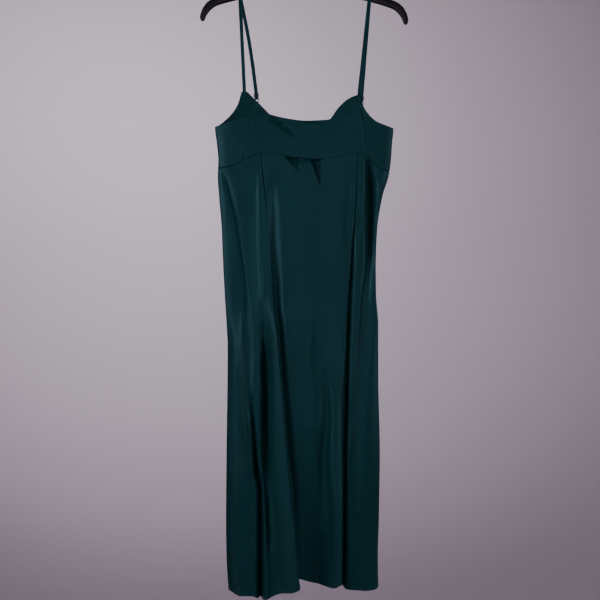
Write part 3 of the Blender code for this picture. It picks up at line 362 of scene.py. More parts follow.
FRONT_CREASES = (
    Fold("left bust swell", 0.032, 0.03, 0, (
        (0.32, -0.09, 0), (0.385, -0.092, 0.0075), (0.43, -0.092, 0.007), (0.48, -0.09, 0))),
    Fold("right bust swell", 0.03, 0.032, 0, (
        (0.32, 0.086, 0), (0.385, 0.088, 0.0075), (0.43, 0.088, 0.007), (0.48, 0.086, 0))),
    Fold("drape below the V", 0.012, 0.012, 0, (
        (0.425, -0.004, 0), (0.47, -0.005, -0.0026), (0.56, -0.008, -0.003), (0.66, -0.012, 0))),
    Fold("left long ridge", 0.004, 0.006, 0, (
        (0.47, -0.07, 0), (0.54, -0.069, 0.0022), (0.7, -0.062, 0.0026), (0.86, -0.054, 0))),
    Fold("left slant", 0.004, 0.007, 0, (
        (0.5, -0.145, 0), (0.56, -0.12, 0.0018), (0.64, -0.098, 0.002), (0.72, -0.084, 0))),
    Fold("right long ridge", 0.006, 0.004, 0, (
        (0.48, 0.056, 0), (0.56, 0.054, 0.0022), (0.72, 0.046, 0.0026), (0.88, 0.038, 0))),
    Fold("right slant", 0.007, 0.004, 0, (
        (0.5, 0.138, 0), (0.57, 0.118, 0.0018), (0.65, 0.101, 0.002), (0.74, 0.09, 0))),
    Fold("left valley line", 0.004, 0.005, 0, (
        (0.82, -0.094, 0), (0.94, -0.092, -0.003), (1.2, -0.089, -0.004), (1.345, -0.088, -0.004))),
    Fold("left roll line", 0.003, 0.005, 0, (
        (0.8, -0.064, 0), (0.96, -0.059, 0.0016), (1.345, -0.05, 0.0022))),
    Fold("middle streak", 0.006, 0.006, 0, (
        (0.9, 0.01, 0), (1.02, 0.012, -0.002), (1.345, 0.016, -0.0034))),
    Fold("middle roll line", 0.005, 0.003, 0, (
        (0.84, 0.034, 0), (1.0, 0.038, 0.0014), (1.345, 0.043, 0.0022))),
    Fold("right valley line", 0.0045, 0.0045, 0, (
        (0.76, 0.09, 0), (0.9, 0.086, -0.0024), (1.1, 0.083, -0.004), (1.345, 0.08, -0.004))),
    Fold("right slanting crease", 0.006, 0.003, 0, (
        (1.08, 0.136, 0), (1.11, 0.122, 0.0014), (1.15, 0.104, 0.0016), (1.18, 0.09, 0))),
)
CREASES = {BACK: BACK_CREASES, FRONT: FRONT_CREASES}
CREASE_SHARPNESS = 1.55

# Hollows hang from the band seam and run out in a tip, each given as (x, drop) for its corners. The cloth
# slants in from the left side of a hollow to its floor, and turns out again at its right side.
Hollow = namedtuple("Hollow", "name left_x right_x tip_x tip_drop depth")
BACK_HOLLOWS = (
    Hollow("left hollow", -0.0440, -0.0150, -0.0110, 0.4810, 0.0080),
    Hollow("right hollow", 0.0070, 0.0310, 0.0305, 0.5120, 0.0110),
    Hollow("slack between the hollows", -0.0460, 0.0320, -0.0050, 0.4640, 0.0030),
)
HOLLOWS = {BACK: BACK_HOLLOWS, FRONT: ()}
# A hollow is whole this far below the seam, and slants in over this share of its width.
HOLLOW_START = 0.0030
HOLLOW_SLANT = 0.35
HOLLOW_TAPER = 0.7
HOLLOW_NARROWEST = 0.0001
# Its right side turns out over this length, and hangs over it by this much.
HOLLOW_RETURN = 0.0020
HOLLOW_OVERHANG = 0.0030
HOLLOW_OVERHANG_REACH = 0.0075

# Darts are sewn lines: grooves a thread wide that cut the panel from the band down.
BACK_DARTS = (
    Fold("left dart", 0.0013, 0.0013, 0, (
        (0.43, -0.0895, -0.0014), (0.47, -0.088, -0.0024), (0.506, -0.0853, -0.0028),
        (0.552, -0.0812, -0.0024), (0.59, -0.078, 0))),
    Fold("right dart", 0.0013, 0.0013, 0, (
        (0.43, 0.1056, -0.0014), (0.49, 0.1048, -0.0024), (0.531, 0.1035, -0.003),
        (0.5894, 0.1, -0.0032), (0.6198, 0.0975, -0.0032), (0.6603, 0.0952, -0.002), (0.72, 0.0925, 0))),
    Fold("side crease line", 0.001, 0.001, 0, (
        (0.47, -0.172, 0), (0.5, -0.162, -0.001), (0.526, -0.1553, -0.0014), (0.559, -0.1474, -0.0014),
        (0.583, -0.1413, -0.0014), (0.62, -0.1362, -0.0012), (0.66, -0.1301, -0.0012),
        (0.701, -0.1245, -0.0012), (0.741, -0.1216, -0.001), (0.782, -0.1196, -0.0009),
        (0.822, -0.116, 0))),
)
FRONT_DARTS = (
    Fold("left dart", 0.0011, 0.0011, 0, (
        (0.43, -0.09, -0.0011), (0.52, -0.088, -0.001), (0.6, -0.084, 0))),
    Fold("right dart", 0.0011, 0.0011, 0, (
        (0.43, 0.086, -0.0011), (0.52, 0.085, -0.001), (0.6, 0.081, 0))),
)
DARTS = {BACK: BACK_DARTS, FRONT: FRONT_DARTS}
DARTS_START = {BACK: BACK_BAND_SEAM, FRONT: FRONT_BAND_SEAM}

# ---------------------------------------------------------------- curves


def smooth_curve(knots, values, at):
    """A smooth curve through a few values. It never swings past them and is level beyond its ends."""
    knots = np.asarray(knots, float)
    values = np.asarray(values, float)
    at = np.clip(at, knots[0], knots[-1])
    steps = np.diff(knots)
    rises = np.diff(values) / steps
    slopes = np.concatenate([rises[:1], np.zeros(len(knots) - 2), rises[-1:]])
    for i in range(1, len(knots) - 1):
        if rises[i - 1] * rises[i] > 0:
            slopes[i] = 2 * rises[i - 1] * rises[i] / (rises[i - 1] + rises[i])
    i = np.clip(np.searchsorted(knots, at, side="right") - 1, 0, len(steps) - 1)
    t = (at - knots[i]) / steps[i]
    return (
        (1 + 2 * t) * (1 - t) ** 2 * values[i]
        + t * (1 - t) ** 2 * steps[i] * slopes[i]
        + t**2 * (3 - 2 * t) * values[i + 1]
        + t**2 * (t - 1) * steps[i] * slopes[i + 1]
    )


def along(points, at):
    """The second value of each pair in points, as a smooth curve over the first."""
    first, second = zip(*points)
    return smooth_curve(first, second, at)


def table_curve(table, name, at):
    """A named column of a table, as a smooth curve over the table's first column."""
    return smooth_curve([row[0] for row in table], [getattr(row, name) for row in table], at)


def ease_in(value):
    """Rises gently from 0 to 1 as the value does, and stays level outside."""
    value = np.clip(value, 0, 1)
    return value * value * (3 - 2 * value)


def bump(offset, width, sharpness=2.0):
    return np.exp(-np.abs(offset / width) ** sharpness)


def circle(count):
    """Even turns round a circle."""
    return np.arange(count) * 2 * math.pi / count


def run_along(points):
    """The distance along a line of points, from its start to each."""
    return np.concatenate([[0], np.cumsum(np.linalg.norm(np.diff(points, axis=0), axis=1))])


# The noise repeats after so many units.
NOISE_SIZE = 64


def soft_noise(across, down, seed):
    """Smooth noise of about -1 to 1 whose features are one unit apart."""
    size = NOISE_SIZE
    lattice = np.random.default_rng(seed).uniform(-1, 1, (size, size))
    i, j = np.floor(across).astype(int), np.floor(down).astype(int)
    s, t = across - i, down - j
    s = s**3 * (s * (6 * s - 15) + 10)
    t = t**3 * (t * (6 * t - 15) + 10)
    near = lattice[i % size, j % size] * (1 - s) + lattice[(i + 1) % size, j % size] * s
    far = lattice[i % size, (j + 1) % size] * (1 - s) + lattice[(i + 1) % size, (j + 1) % size] * s
    return near * (1 - t) + far * t


# ---------------------------------------------------------------- the cloth's surface


def section(face, drop):
    """The middle and the half width between the side seams, and the depth of one face."""
    left = table_curve(SECTIONS, "left", drop)
    right = table_curve(SECTIONS, "right", drop)
    depth = table_curve(SECTIONS, "back_depth" if face == BACK else "front_depth", drop)
    return (left + right) / 2, (right - left) / 2, depth


def fold_lift(fold, x, drop, sharpness=2.0):
    """How far one fold stands out at each point."""
    drops, lines, heights = zip(*fold.stations)
    offset = x - smooth_curve(drops, lines, drop)
    width = np.where(offset < 0, fold.left_width, fold.right_width)
    return smooth_curve(drops, heights, drop) * bump(offset, width, sharpness)


# Hanging cloth is uneven: each row is one size of wave, its height and its spacing across and down.
Wave = namedtuple("Wave", "height across down")
SKIRT_WAVES = (Wave(0.0011, 0.040, 0.33), Wave(0.0005, 0.017, 0.15), Wave(0.0002, 0.008, 0.05))
BODICE_WAVES = (Wave(0.0006, 0.036, 0.034), Wave(0.0002, 0.012, 0.013))
# The bodice's waves give way to the skirt's from this drop on, over this length.
SKIRT_WAVES_FROM = 0.45
SKIRT_WAVES_OVER = 0.15
# The dress's middle lies this far into the noise.
WAVES_START = 9
WAVE_SEEDS = {BACK: 11, FRONT: 23}


def summed_waves(waves, x, drop, seed):
    return sum(wave.height * soft_noise(x / wave.across + WAVES_START, drop / wave.down, seed + number)
               for number, wave in enumerate(waves))


def slack(face, x, drop):
    """The unevenness of hanging cloth: long soft waves down the skirt, and short ones on the bodice."""
    seed = WAVE_SEEDS[face]
    on_skirt = ease_in((drop - SKIRT_WAVES_FROM) / SKIRT_WAVES_OVER)
    long_waves = summed_waves(SKIRT_WAVES, x, drop, seed)
    short_waves = summed_waves(BODICE_WAVES, x, drop, seed + len(SKIRT_WAVES))
    return long_waves * on_skirt + short_waves * (1 - on_skirt)


def hollow_shift(hollow, x, drop, under_band):
    """How far a hollow pulls the cloth sideways and in. The cloth at its right side hangs over it."""
    seam_drop = along(BACK_BAND_SEAM, hollow.right_x)
    share = np.clip((drop - seam_drop) / (hollow.tip_drop - seam_drop), 0, 1)
    left = hollow.left_x + (hollow.tip_x - hollow.left_x) * share
    right = hollow.right_x + (hollow.tip_x - hollow.right_x) * share
    across = (x - left) / np.maximum(right - left, HOLLOW_NARROWEST)
    past_right = x - right
    slant = ease_in(across / HOLLOW_SLANT) * ease_in(1 - past_right / HOLLOW_RETURN)
    size = ease_in(under_band / HOLLOW_START) * (1 - share) ** HOLLOW_TAPER
    overhang = ease_in(past_right / HOLLOW_RETURN) * bump(np.maximum(past_right, 0), HOLLOW_OVERHANG_REACH)
    return HOLLOW_OVERHANG * size * overhang, hollow.depth * size * slant


def cloth_shift(face, x, drop):
    """How far the folds and all that lies on them push the cloth sideways and outwards."""
    sideways = np.zeros_like(x)
    outwards = slack(face, x, drop)
    for fold in FOLDS[face]:
        lift = fold_lift(fold, x, drop)
        outwards += lift
        sideways += fold.lean * lift
    for crease in CREASES[face]:
        outwards += fold_lift(crease, x, drop, CREASE_SHARPNESS)
    under_band = drop - along(DARTS_START[face], x)
    for dart in DARTS[face]:
        outwards += fold_lift(dart, x, drop) * (under_band > 0)
    for hollow in HOLLOWS[face]:
        overhang, depth = hollow_shift(hollow, x, drop, under_band)
        sideways -= overhang
        outwards -= depth
    return sideways, outwards


def cloth_point(face, turn, drop):
    """A point of the cloth. turn goes from 0 at the left side seam to pi at the right one."""
    middle, half, depth = section(face, drop)
    x = middle - half * np.cos(turn)
    sideways, outwards = cloth_shift(face, x, drop)
    reach = ease_in(np.sin(turn) / FOLDS_CLEAR_OF_SIDE)
    y = face * ((depth + face * SIDE_SEAMS_BACK) * np.sin(turn) + reach * outwards) - SIDE_SEAMS_BACK
    return np.stack([x + reach * sideways, y, -drop], axis=-1)


def turn_at(face, x, drop):
    middle, half, _ = section(face, drop)
    return np.arccos(np.clip((middle - x) / half, -1, 1))


def x_at(face, turn, drop):
    middle, half, _ = section(face, drop)
    return middle - half * np.cos(turn)


def surface_y(face, x, drop):
    """The solids' own surface, without creases: where a strap's end meets its panel."""
    middle, half, depth = section(face, drop)
    turn = float(turn_at(face, x, drop))
    lift = sum(float(fold_lift(fold, np.float64(x), np.float64(drop))) for fold in FOLDS[face])
    reach = float(ease_in(math.sin(turn) / FOLDS_CLEAR_OF_SIDE))
    depth_here = (float(depth) + face * SIDE_SEAMS_BACK) * math.sin(turn)
    return face * (depth_here + reach * lift) - SIDE_SEAMS_BACK


# ---------------------------------------------------------------- panels

# left and right are a seam line of (drop, x), or SIDE for a side seam. top and bottom are edges of
# (x, drop). finishes says how each edge is sewn, in the order top, bottom, left, right.
SIDE = None
SEAM = "seam"
LAP = "lap"
EDGE = "edge"
HEM = "hem"
LEFT_SIDE = "left side"
RIGHT_SIDE = "right side"
Panel = namedtuple("Panel", "name node face left right top bottom columns rows finishes")
PANELS = (
    Panel("satin_back_side_left", "back_side_left", BACK, SIDE, BACK_SEAM_LEFT, BACK_TOP, BACK_BAND_SEAM,
          64, 27, (EDGE, SEAM, SEAM, SEAM)),
    Panel("satin_back_band", "back_band", BACK, BACK_SEAM_LEFT, BACK_SEAM_RIGHT, BACK_TOP, BACK_BAND_SEAM,
          200, 27, (EDGE, SEAM, SEAM, SEAM)),
    Panel("satin_back_side_right", "back_side_right", BACK, BACK_SEAM_RIGHT, SIDE, BACK_TOP, BACK_BAND_SEAM,
          64, 27, (EDGE, SEAM, LAP, SEAM)),
    Panel("satin_back_skirt", "back_skirt", BACK, SIDE, SIDE, BACK_BAND_SEAM, BACK_HEM,
          300, 201, (SEAM, HEM, LEFT_SIDE, RIGHT_SIDE)),
    Panel("satin_front_bodice", "front_bodice", FRONT, SIDE, SIDE, FRONT_TOP, FRONT_BAND_SEAM,
          260, 35, (EDGE, SEAM, SEAM, SEAM)),
    Panel("satin_front_skirt", "front_skirt", FRONT, SIDE, SIDE, FRONT_BAND_SEAM, FRONT_HEM,
          270, 181, (SEAM, HEM, SEAM, SEAM)),
)

# Rows crowd at the top and bottom edges, at these distances from them, and once more at a hem's stitches.
NEAR_EDGE = (0.0, 0.0004, 0.0009, 0.0015, 0.0023, 0.0034, 0.0050, 0.0070, 0.0084, 0.0090, 0.0096, 0.0110,
             0.0135, 0.0170, 0.0215)
# Each row is first laid at this many samples, and its drops settle in this many rounds.
SAMPLES = 900
ROUNDS = 6
SEAM_CROWDING = 3.0
SEAM_CROWDING_REACH = 0.005
# A dart a millimetre deep draws in so many more columns.
DART_CROWDING = 2.6
DART_CROWDING_REACH = 0.0035
NORMAL_STEP = 0.0002


def row_rule(rows):
    """Each row's share of the way from the top edge to the bottom one, and its shift from there."""
    inner = np.linspace(0, 1, rows + 2)[1:-1]
    share = np.concatenate([np.zeros(len(NEAR_EDGE)), inner, np.ones(len(NEAR_EDGE))])
    shift = np.concatenate([NEAR_EDGE, NEAR_EDGE[-1] * (1 - 2 * inner), -np.array(NEAR_EDGE[::-1])])
    return share[:, None], shift[:, None]


def row_drop(panel, x, share, shift):
    """How low each row lies at x. On a short column the rows near the edges move closer together."""
    top = along(panel.top, x)
    length = along(panel.bottom, x) - top
    fit = np.minimum(1, length / (3 * NEAR_EDGE[-1]))
    return top + length * share + shift * fit


def end_turn(panel, line, share, shift, at_left):
    """The turn at which each row meets the panel's left or right edge."""
    if line is SIDE:
        return np.full_like(share, 0 if at_left else math.pi)
    drop = np.full_like(share, np.mean([drop for drop, _ in line]))
    for _ in range(2 * ROUNDS):
        drop = row_drop(panel, along(line, drop), share, shift)
    return turn_at(panel.face, along(line, drop), drop)


def crowding(panel, x, drop, from_left, from_right):
    """How densely columns stand: closer on the darts and at the seams."""
    at_seams = bump(from_left, SEAM_CROWDING_REACH) + bump(from_right, SEAM_CROWDING_REACH)
    dense = 1 + SEAM_CROWDING * at_seams
    for dart in DARTS[panel.face]:
        drops, lines, heights = zip(*dart.stations)
        depth = np.abs(smooth_curve(drops, heights, drop)) / MILLIMETRE
        dense += DART_CROWDING * depth * bump(x - smooth_curve(drops, lines, drop), DART_CROWDING_REACH)
    return dense


def lay_rows(panel):
    """The turn, drop and run of cloth from the left edge, at each column of each row."""
    share, shift = row_rule(panel.rows)
    left = end_turn(panel, panel.left, share, shift, True)
    right = end_turn(panel, panel.right, share, shift, False)
    turn = left + (right - left) * np.linspace(0, 1, SAMPLES)
    drop = np.full_like(turn, np.mean([drop for _, drop in panel.bottom]))
    for _ in range(ROUNDS):
        drop = row_drop(panel, x_at(panel.face, turn, drop), share, shift)
    steps = np.linalg.norm(np.diff(cloth_point(panel.face, turn, drop), axis=1), axis=2)
    start = np.zeros_like(share)
    run = np.concatenate([start, np.cumsum(steps, axis=1)], axis=1)
    dense = crowding(panel, x_at(panel.face, turn, drop), drop, run, run[:, -1:] - run)
    weighted = np.cumsum(steps * (dense[:, 1:] + dense[:, :-1]) / 2, axis=1)
    weighted = np.concatenate([start, weighted], axis=1)
    laid = []
    for row, marks in enumerate(weighted):
        wanted = np.linspace(0, marks[-1], panel.columns + 1)
        laid.append([np.interp(wanted, marks, values[row]) for values in (turn, drop, run)])
    return np.array(laid).transpose(1, 0, 2)


def run_down(points):
    """The run of cloth from the top edge down each column."""
    steps = np.linalg.norm(np.diff(points, axis=0), axis=2)
    return np.concatenate([np.zeros((1, points.shape[1])), np.cumsum(steps, axis=0)])


def cloth_normal(face, turn, drop):
    """The outward direction of the cloth at a point."""
    across = cloth_point(face, turn + NORMAL_STEP, drop) - cloth_point(face, turn - NORMAL_STEP, drop)
    down = cloth_point(face, turn, drop + NORMAL_STEP) - cloth_point(face, turn, drop - NORMAL_STEP)
    normal = face * np.cross(across, down)
    return normal / np.linalg.norm(normal, axis=-1, keepdims=True)


def rounding(distance):
    """Thins the cloth close to a free edge, so that it ends round."""
    inwards = np.clip(distance / EDGE_ROUND, 0, 1)
    return EDGE_THINNEST + (1 - EDGE_THINNEST) * np.sqrt(1 - (1 - inwards) ** 2)


# Sewing gathers cloth unevenly: by this share, at this spacing along the edge and away from it.
Gathers = namedtuple("Gathers", "share along away")
SEAM_GATHERS = Gathers(0.9, 0.0105, 0.03)
FACING_GATHERS = Gathers(0.5, 0.012, 0.03)
HEM_GATHERS = Gathers(0.7, 0.013, 0.02)
LAP_GATHERS = Gathers(0.5, 0.0105, 0.03)
# A ridge or a groove along an edge: its height, its distance from the edge and its reach.
Line = namedtuple("Line", "height place reach")
SEAM_PUFF = Line(0.00016, 0.0038, 0.0030)
# The puff beside a seam fades out towards the seam itself, where SEAM_FLAT is 1.
SEAM_FLAT = Line(1, 0, 0.0011)
SEAM_GROOVE = Line(-0.0009, 0, 0.0010)
FACING_GROOVE = Line(-0.00022, 0.0042, 0.0010)
HEM_SWELL = Line(0.00030, 0.0050, 0.0030)
HEM_GROOVE = Line(-0.00030, STITCH_LINE, 0.0009)


def gathered(gathers, distance, run, seed):
    """Varies about 1 along an edge, as sewing leaves the cloth."""
    return 1 + gathers.share * soft_noise(run / gathers.along, distance / gathers.away, seed)


def raised(line, distance):
    return line.height * bump(distance - line.place, line.reach)


def seam_relief(distance, run, seed):
    """A seam pulls the cloth in, and the allowance under it puffs it up unevenly beside it."""
    puff = raised(SEAM_PUFF, distance) * (1 - raised(SEAM_FLAT, distance))
    return puff * gathered(SEAM_GATHERS, distance, run, seed) + raised(SEAM_GROOVE, distance)


def edge_relief(distance, run, seed):
    """A faced edge: firm and a little thick, with an uneven groove where the facing is stitched under."""
    return raised(FACING_GROOVE, distance) * gathered(FACING_GATHERS, distance, run, seed)


def hem_relief(distance, run, seed):
    """A narrow turned hem, with a groove at its stitches and small drags between them."""
    swell = raised(HEM_SWELL, distance) * gathered(HEM_GATHERS, distance, run, seed)
    return swell + raised(HEM_GROOVE, distance)


def lap_relief(distance, run, seed):
    """A seam whose allowance lies under this side, so that the side stands proud along it."""
    return LAP_RISE * gathered(LAP_GATHERS, distance, run, seed) * (1 - ease_in(distance / LAP_REACH))


# The cloth sinks into a trough beside a side seam: its depth and width at a run of cloth below the band.
Trough = namedtuple("Trough", "run depth width")
TROUGHS = {
    LEFT_SIDE: (
        Trough(0.00, 0.0004, 0.0030), Trough(0.28, 0.0010, 0.0030), Trough(0.38, 0.0042, 0.0036),
        Trough(0.62, 0.0052, 0.0046), Trough(0.74, 0.0068, 0.0066), Trough(0.88, 0.0090, 0.0095)),
    RIGHT_SIDE: (
        Trough(0.00, 0.0020, 0.0036), Trough(0.10, 0.0030, 0.0036), Trough(0.22, 0.0020, 0.0030),
        Trough(0.32, 0.0006, 0.0030)),
}
# The floor lies this many widths from the seam, and the far slope is this many times the near one's width.
TROUGH_FLOOR = 1.2
TROUGH_FAR_SLOPE = 2.0
RELIEF_SEED = 31


def side_relief(side):
    """The relief beside one side seam of the back skirt."""
    runs, depths, widths = zip(*TROUGHS[side])

    def relief(distance, run, seed):
        width = smooth_curve(runs, widths, run)
        past_floor = distance - TROUGH_FLOOR * width
        reach = width * np.where(past_floor > 0, TROUGH_FAR_SLOPE, 1)
        trough = smooth_curve(runs, depths, run) * bump(past_floor, reach)
        return seam_relief(distance, run, seed) - trough

    return relief


RELIEFS = {SEAM: seam_relief, LAP: lap_relief, EDGE: edge_relief, HEM: hem_relief,
           LEFT_SIDE: side_relief(LEFT_SIDE), RIGHT_SIDE: side_relief(RIGHT_SIDE)}


def panel_relief(panel, down, up, from_left, from_right):
    """The relief of all four edges' sewing, at each point of the panel."""
    places = zip(panel.finishes, (down, up, from_left, from_right), (from_left, from_left, down, down))
    relief = np.zeros_like(down)
    for number, (finish, distance, run) in enumerate(places):
        relief += RELIEFS[finish](distance, run, RELIEF_SEED + number)
    return relief


Laid = namedtuple("Laid", "outer inner normals across down")


def lay_panel(panel):
    """All that the panel's mesh is made from: its skins, and its runs of cloth across and down."""
    turn, drop, across = lay_rows(panel)
    middle = cloth_point(panel.face, turn, drop)
    normals = cloth_normal(panel.face, turn, drop)
    down = run_down(middle)
    up = down[-1:] - down
    from_right = across[:, -1:] - across
    relief = panel_relief(panel, down, up, across, from_right)
    inner_half = np.full_like(down, CLOTH_HALF)
    if panel.finishes[0] == EDGE:
        inner_half += FACING_EXTRA * (1 - ease_in((down - FACING_DEPTH) / INNER_STEP))
    if panel.finishes[1] == HEM:
        inner_half += HEM_EXTRA * (1 - ease_in((up - HEM_TURN_UP) / INNER_STEP))
    for finish, distance in zip(panel.finishes[2:], (across, from_right)):
        if finish == LAP:
            inner_half += LAP_EXTRA * (1 - ease_in(distance / LAP_REACH))
    half = np.full_like(down, CLOTH_HALF)
    for finish, distance in zip(panel.finishes, (down, up)):
        if finish != SEAM:
            half *= rounding(distance)
            inner_half *= rounding(distance)
    outer = middle + normals * (relief + half)[..., None]
    inner = middle + normals * (relief - inner_half)[..., None]
    return Laid(outer, inner, normals, across, down)


def grid_faces(start, rows, columns):
    """Faces between the points of a grid, which follow each other row by row from start."""
    return [(a, a + columns, a + columns + 1, a + 1)
            for row in range(rows - 1)
            for a in range(start + row * columns, start + (row + 1) * columns - 1)]


def shell_faces(rows, columns):
    """Faces of a shell whose outer skin is a full grid and whose inner one has every second line."""
    inner_columns = (columns + 1) // 2
    under = rows * columns
    faces = grid_faces(0, rows, columns)
    faces += [face[:1] + face[:0:-1] for face in grid_faces(under, (rows + 1) // 2, inner_columns)]

    def rim(*places):
        """A face from three neighbours on the outer skin's rim to the two inner ones behind them."""
        outer = [row * columns + column for row, column in places]
        inner = [under + row // 2 * inner_columns + column // 2 for row, column in (places[2], places[0])]
        faces.append((*outer, *inner))

    last = rows - 1
    for k in range(0, columns - 1, 2):
        rim((0, k), (0, k + 1), (0, k + 2))
        rim((last, k + 2), (last, k + 1), (last, k))
    last = columns - 1
    for k in range(0, rows - 1, 2):
        rim((k + 2, 0), (k + 1, 0), (k, 0))
        rim((k, last), (k + 1, last), (k + 2, last))
    return faces


def add_object(name, points, faces, material, uv=None, smooth_angle=50):
    mesh = bpy.data.meshes.new(name)
    mesh.from_pydata(np.asarray(points, float).tolist(), [], faces)
    mesh.update()
    mesh.shade_smooth()
    mesh.set_sharp_from_angle(angle=math.radians(smooth_angle))
    if uv is not None:
        corners = np.zeros(len(mesh.loops), np.int32)
        mesh.loops.foreach_get("vertex_index", corners)
        mesh.uv_layers.new(name="thread").data.foreach_set("uv", uv[corners].astype(np.float32).ravel())
    mesh.materials.append(material)
    obj = bpy.data.objects.new(name, mesh)
    bpy.context.scene.collection.objects.link(obj)
    return obj


def place(obj, slot, *nodes):
    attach(obj, "root")
    if nodes:
        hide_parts(*nodes)


def build_panel(panel, material):
    """The panel's shell, with the runs of its cloth as thread coordinates."""
    laid = lay_panel(panel)
    rows, columns, _ = laid.outer.shape
    points = np.concatenate([laid.outer.reshape(-1, 3), laid.inner[::2, ::2].reshape(-1, 3)])
    thread = np.stack([laid.across, -laid.down], axis=-1)
    thread = np.concatenate([thread.reshape(-1, 2), thread[::2, ::2].reshape(-1, 2)])
    faces = shell_faces(rows, columns)
    if panel.face == FRONT:
        faces = [corners[::-1] for corners in faces]
    obj = add_object(panel.name, points, faces, material, thread)
    place(obj, "satin", panel.node)
    return obj, laid


# ---------------------------------------------------------------- sewing thread


def resample(points, step):
    """Points at equal steps along a line, with whatever each point carries after its x, y and z."""
    lengths = run_along(points[:, :3])
    wanted = np.linspace(0, lengths[-1], max(2, int(round(lengths[-1] / step)) + 1))
    return np.stack([np.interp(wanted, lengths, values) for values in points.T], axis=1)


def edge_line(laid, up_from_hem):
    """The line on the outer skin at a distance above the hem, with the cloth's normal beside each point."""
    up = laid.down[-1:] - laid.down
    found = []
    for column in range(up.shape[1]):
        heights = up[::-1, column]
        values = np.concatenate([laid.outer[::-1, column], laid.normals[::-1, column]], axis=1)
        found.append([np.interp(up_from_hem, heights, values[:, axis]) for axis in range(6)])
    return np.array(found)


STITCH_PITCH = 0.0032
STITCH_SHARE = 0.74
STITCH_RADIUS = 0.00024
STITCH_RISE = 0.00012
STITCH_SIDES = 6
STITCH_POINTS = 4
STITCHES_START = 2
# Along one stitch: the share of its length, its height above its rise in radii, and its thickness.
STITCH_SHAPE = ((0, -2.2, 0.5), (0.12, -0.2, 0.95), (0.5, 0.2, 1), (0.88, -0.2, 0.95), (1, -2.2, 0.5))


def stitch_rings(line, normals):
    """The rings of one stitch along a short line, dipping into the cloth at both ends."""
    rings = []
    along_line = line[-1] - line[0]
    for share, height, thickness in STITCH_SHAPE:
        middle = line[0] + along_line * share
        normal = normals[0] + (normals[-1] - normals[0]) * share
        side = np.cross(along_line, normal)
        side /= np.linalg.norm(side)
        middle = middle + normal * (STITCH_RISE + STITCH_RADIUS * height)
        rings.append([
            middle + STITCH_RADIUS * thickness * (math.cos(turn) * side + math.sin(turn) * normal)
            for turn in circle(STITCH_SIDES)])
    return rings


def tube_faces(rings, sides, loop=False, start=0):
    """Faces of a tube of rings, closed at its ends or round into itself. start is its first point."""
    faces = []
    for i in range(rings if loop else rings - 1):
        for j in range(sides):
            a = start + i * sides + j
            b = start + i * sides + (j + 1) % sides
            c = start + (i + 1) % rings * sides + (j + 1) % sides
            d = start + (i + 1) % rings * sides + j
            faces.append((a, d, c, b))
    if not loop:
        faces.append(tuple(start + j for j in range(sides)))
        faces.append(tuple(start + (rings - 1) * sides + j for j in reversed(range(sides))))
    return faces


def build_stitches(name, line, material):
    """A row of stitches along a line of points with normals."""
    fine = resample(line, STITCH_PITCH / STITCH_POINTS)
    points = []
    faces = []
    for first in range(STITCHES_START, len(fine) - STITCHES_START - STITCH_POINTS, STITCH_POINTS):
        last = fine[first] + (fine[first + STITCH_POINTS] - fine[first]) * STITCH_SHARE
        ends = np.array([fine[first], last])
        rings = stitch_rings(ends[:, :3], ends[:, 3:])
        faces += tube_faces(len(rings), STITCH_SIDES, start=len(points))
        points += [point for ring in rings for point in ring]
    obj = add_object(name, points, faces, material, smooth_angle=70)
    place(obj, "satin")
    return obj


# ---------------------------------------------------------------- sweeps


def directions(path):
    tangents = np.gradient(path, axis=0)
    return tangents / np.linalg.norm(tangents, axis=1, keepdims=True)


def soften(path, passes):
    """Evens out the corners of a path and keeps its ends."""
    path = path.copy()
    for _ in range(passes):
        path[1:-1] = path[1:-1] / 2 + (path[:-2] + path[2:]) / 4
    return path


def add_sweep(name, rings, material, loop=False, uv=None, smooth_angle=60):
    rings = np.asarray(rings, float)
    count, sides, _ = rings.shape
    obj = add_object(name, rings.reshape(-1, 3), tube_faces(count, sides, loop), material, uv, smooth_angle)
    return outwards(obj)


def outwards(obj):
    """Turns a closed mesh so that its faces look out."""
    shape = bmesh.new()
    shape.from_mesh(obj.data)
    bmesh.ops.recalc_face_normals(shape, faces=shape.faces)
    shape.to_mesh(obj.data)
    shape.free()
    return obj


RIBBON_SIDES = 20
RIBBON_ROUND = 0.62
RIBBON_PATH_STEP = 0.0009
RIBBON_PASSES = 3
# A ribbon's width varies by this share, at this spacing along it, from this far into the noise on.
RIBBON_UNEVEN = 0.035
RIBBON_UNEVEN_PITCH = 0.016
RIBBON_UNEVEN_START = 3
RIBBON_SEED = 71


def ribbon_rings(path):
    """Rings of a soft flat tube that keeps its width as near to X as its path allows."""
    tangents = directions(path)
    widths = np.array([1.0, 0, 0]) - tangents * tangents[:, :1]
    widths /= np.linalg.norm(widths, axis=1, keepdims=True)
    through = np.cross(tangents, widths)
    rings = []
    run = run_along(path)
    spots = run / RIBBON_UNEVEN_PITCH + RIBBON_UNEVEN_START
    for turn in circle(RIBBON_SIDES):
        across, out = (math.copysign(abs(share) ** RIBBON_ROUND, share)
                       for share in (math.cos(turn), math.sin(turn)))
        uneven = 1 + RIBBON_UNEVEN * soft_noise(spots, np.full_like(run, turn), RIBBON_SEED)
        edge = (widths * across * STRAP_WIDTH / 2) * uneven[:, None]
        rings.append(path + edge + through * out * STRAP_THICKNESS / 2)
    return np.stack(rings, axis=1)


def ribbon_uv(path):
    """Thread coordinates of a ribbon: across it, and along it, in metres."""
    run = run_along(path)
    across = np.cos(circle(RIBBON_SIDES)) * STRAP_WIDTH / 2
    return np.stack([np.tile(across, len(run)), np.repeat(run, RIBBON_SIDES)], axis=1)


def add_ribbon(name, path, material):
    path = soften(resample(path, RIBBON_PATH_STEP), RIBBON_PASSES)
    return add_sweep(name, ribbon_rings(path), material, uv=ribbon_uv(path))


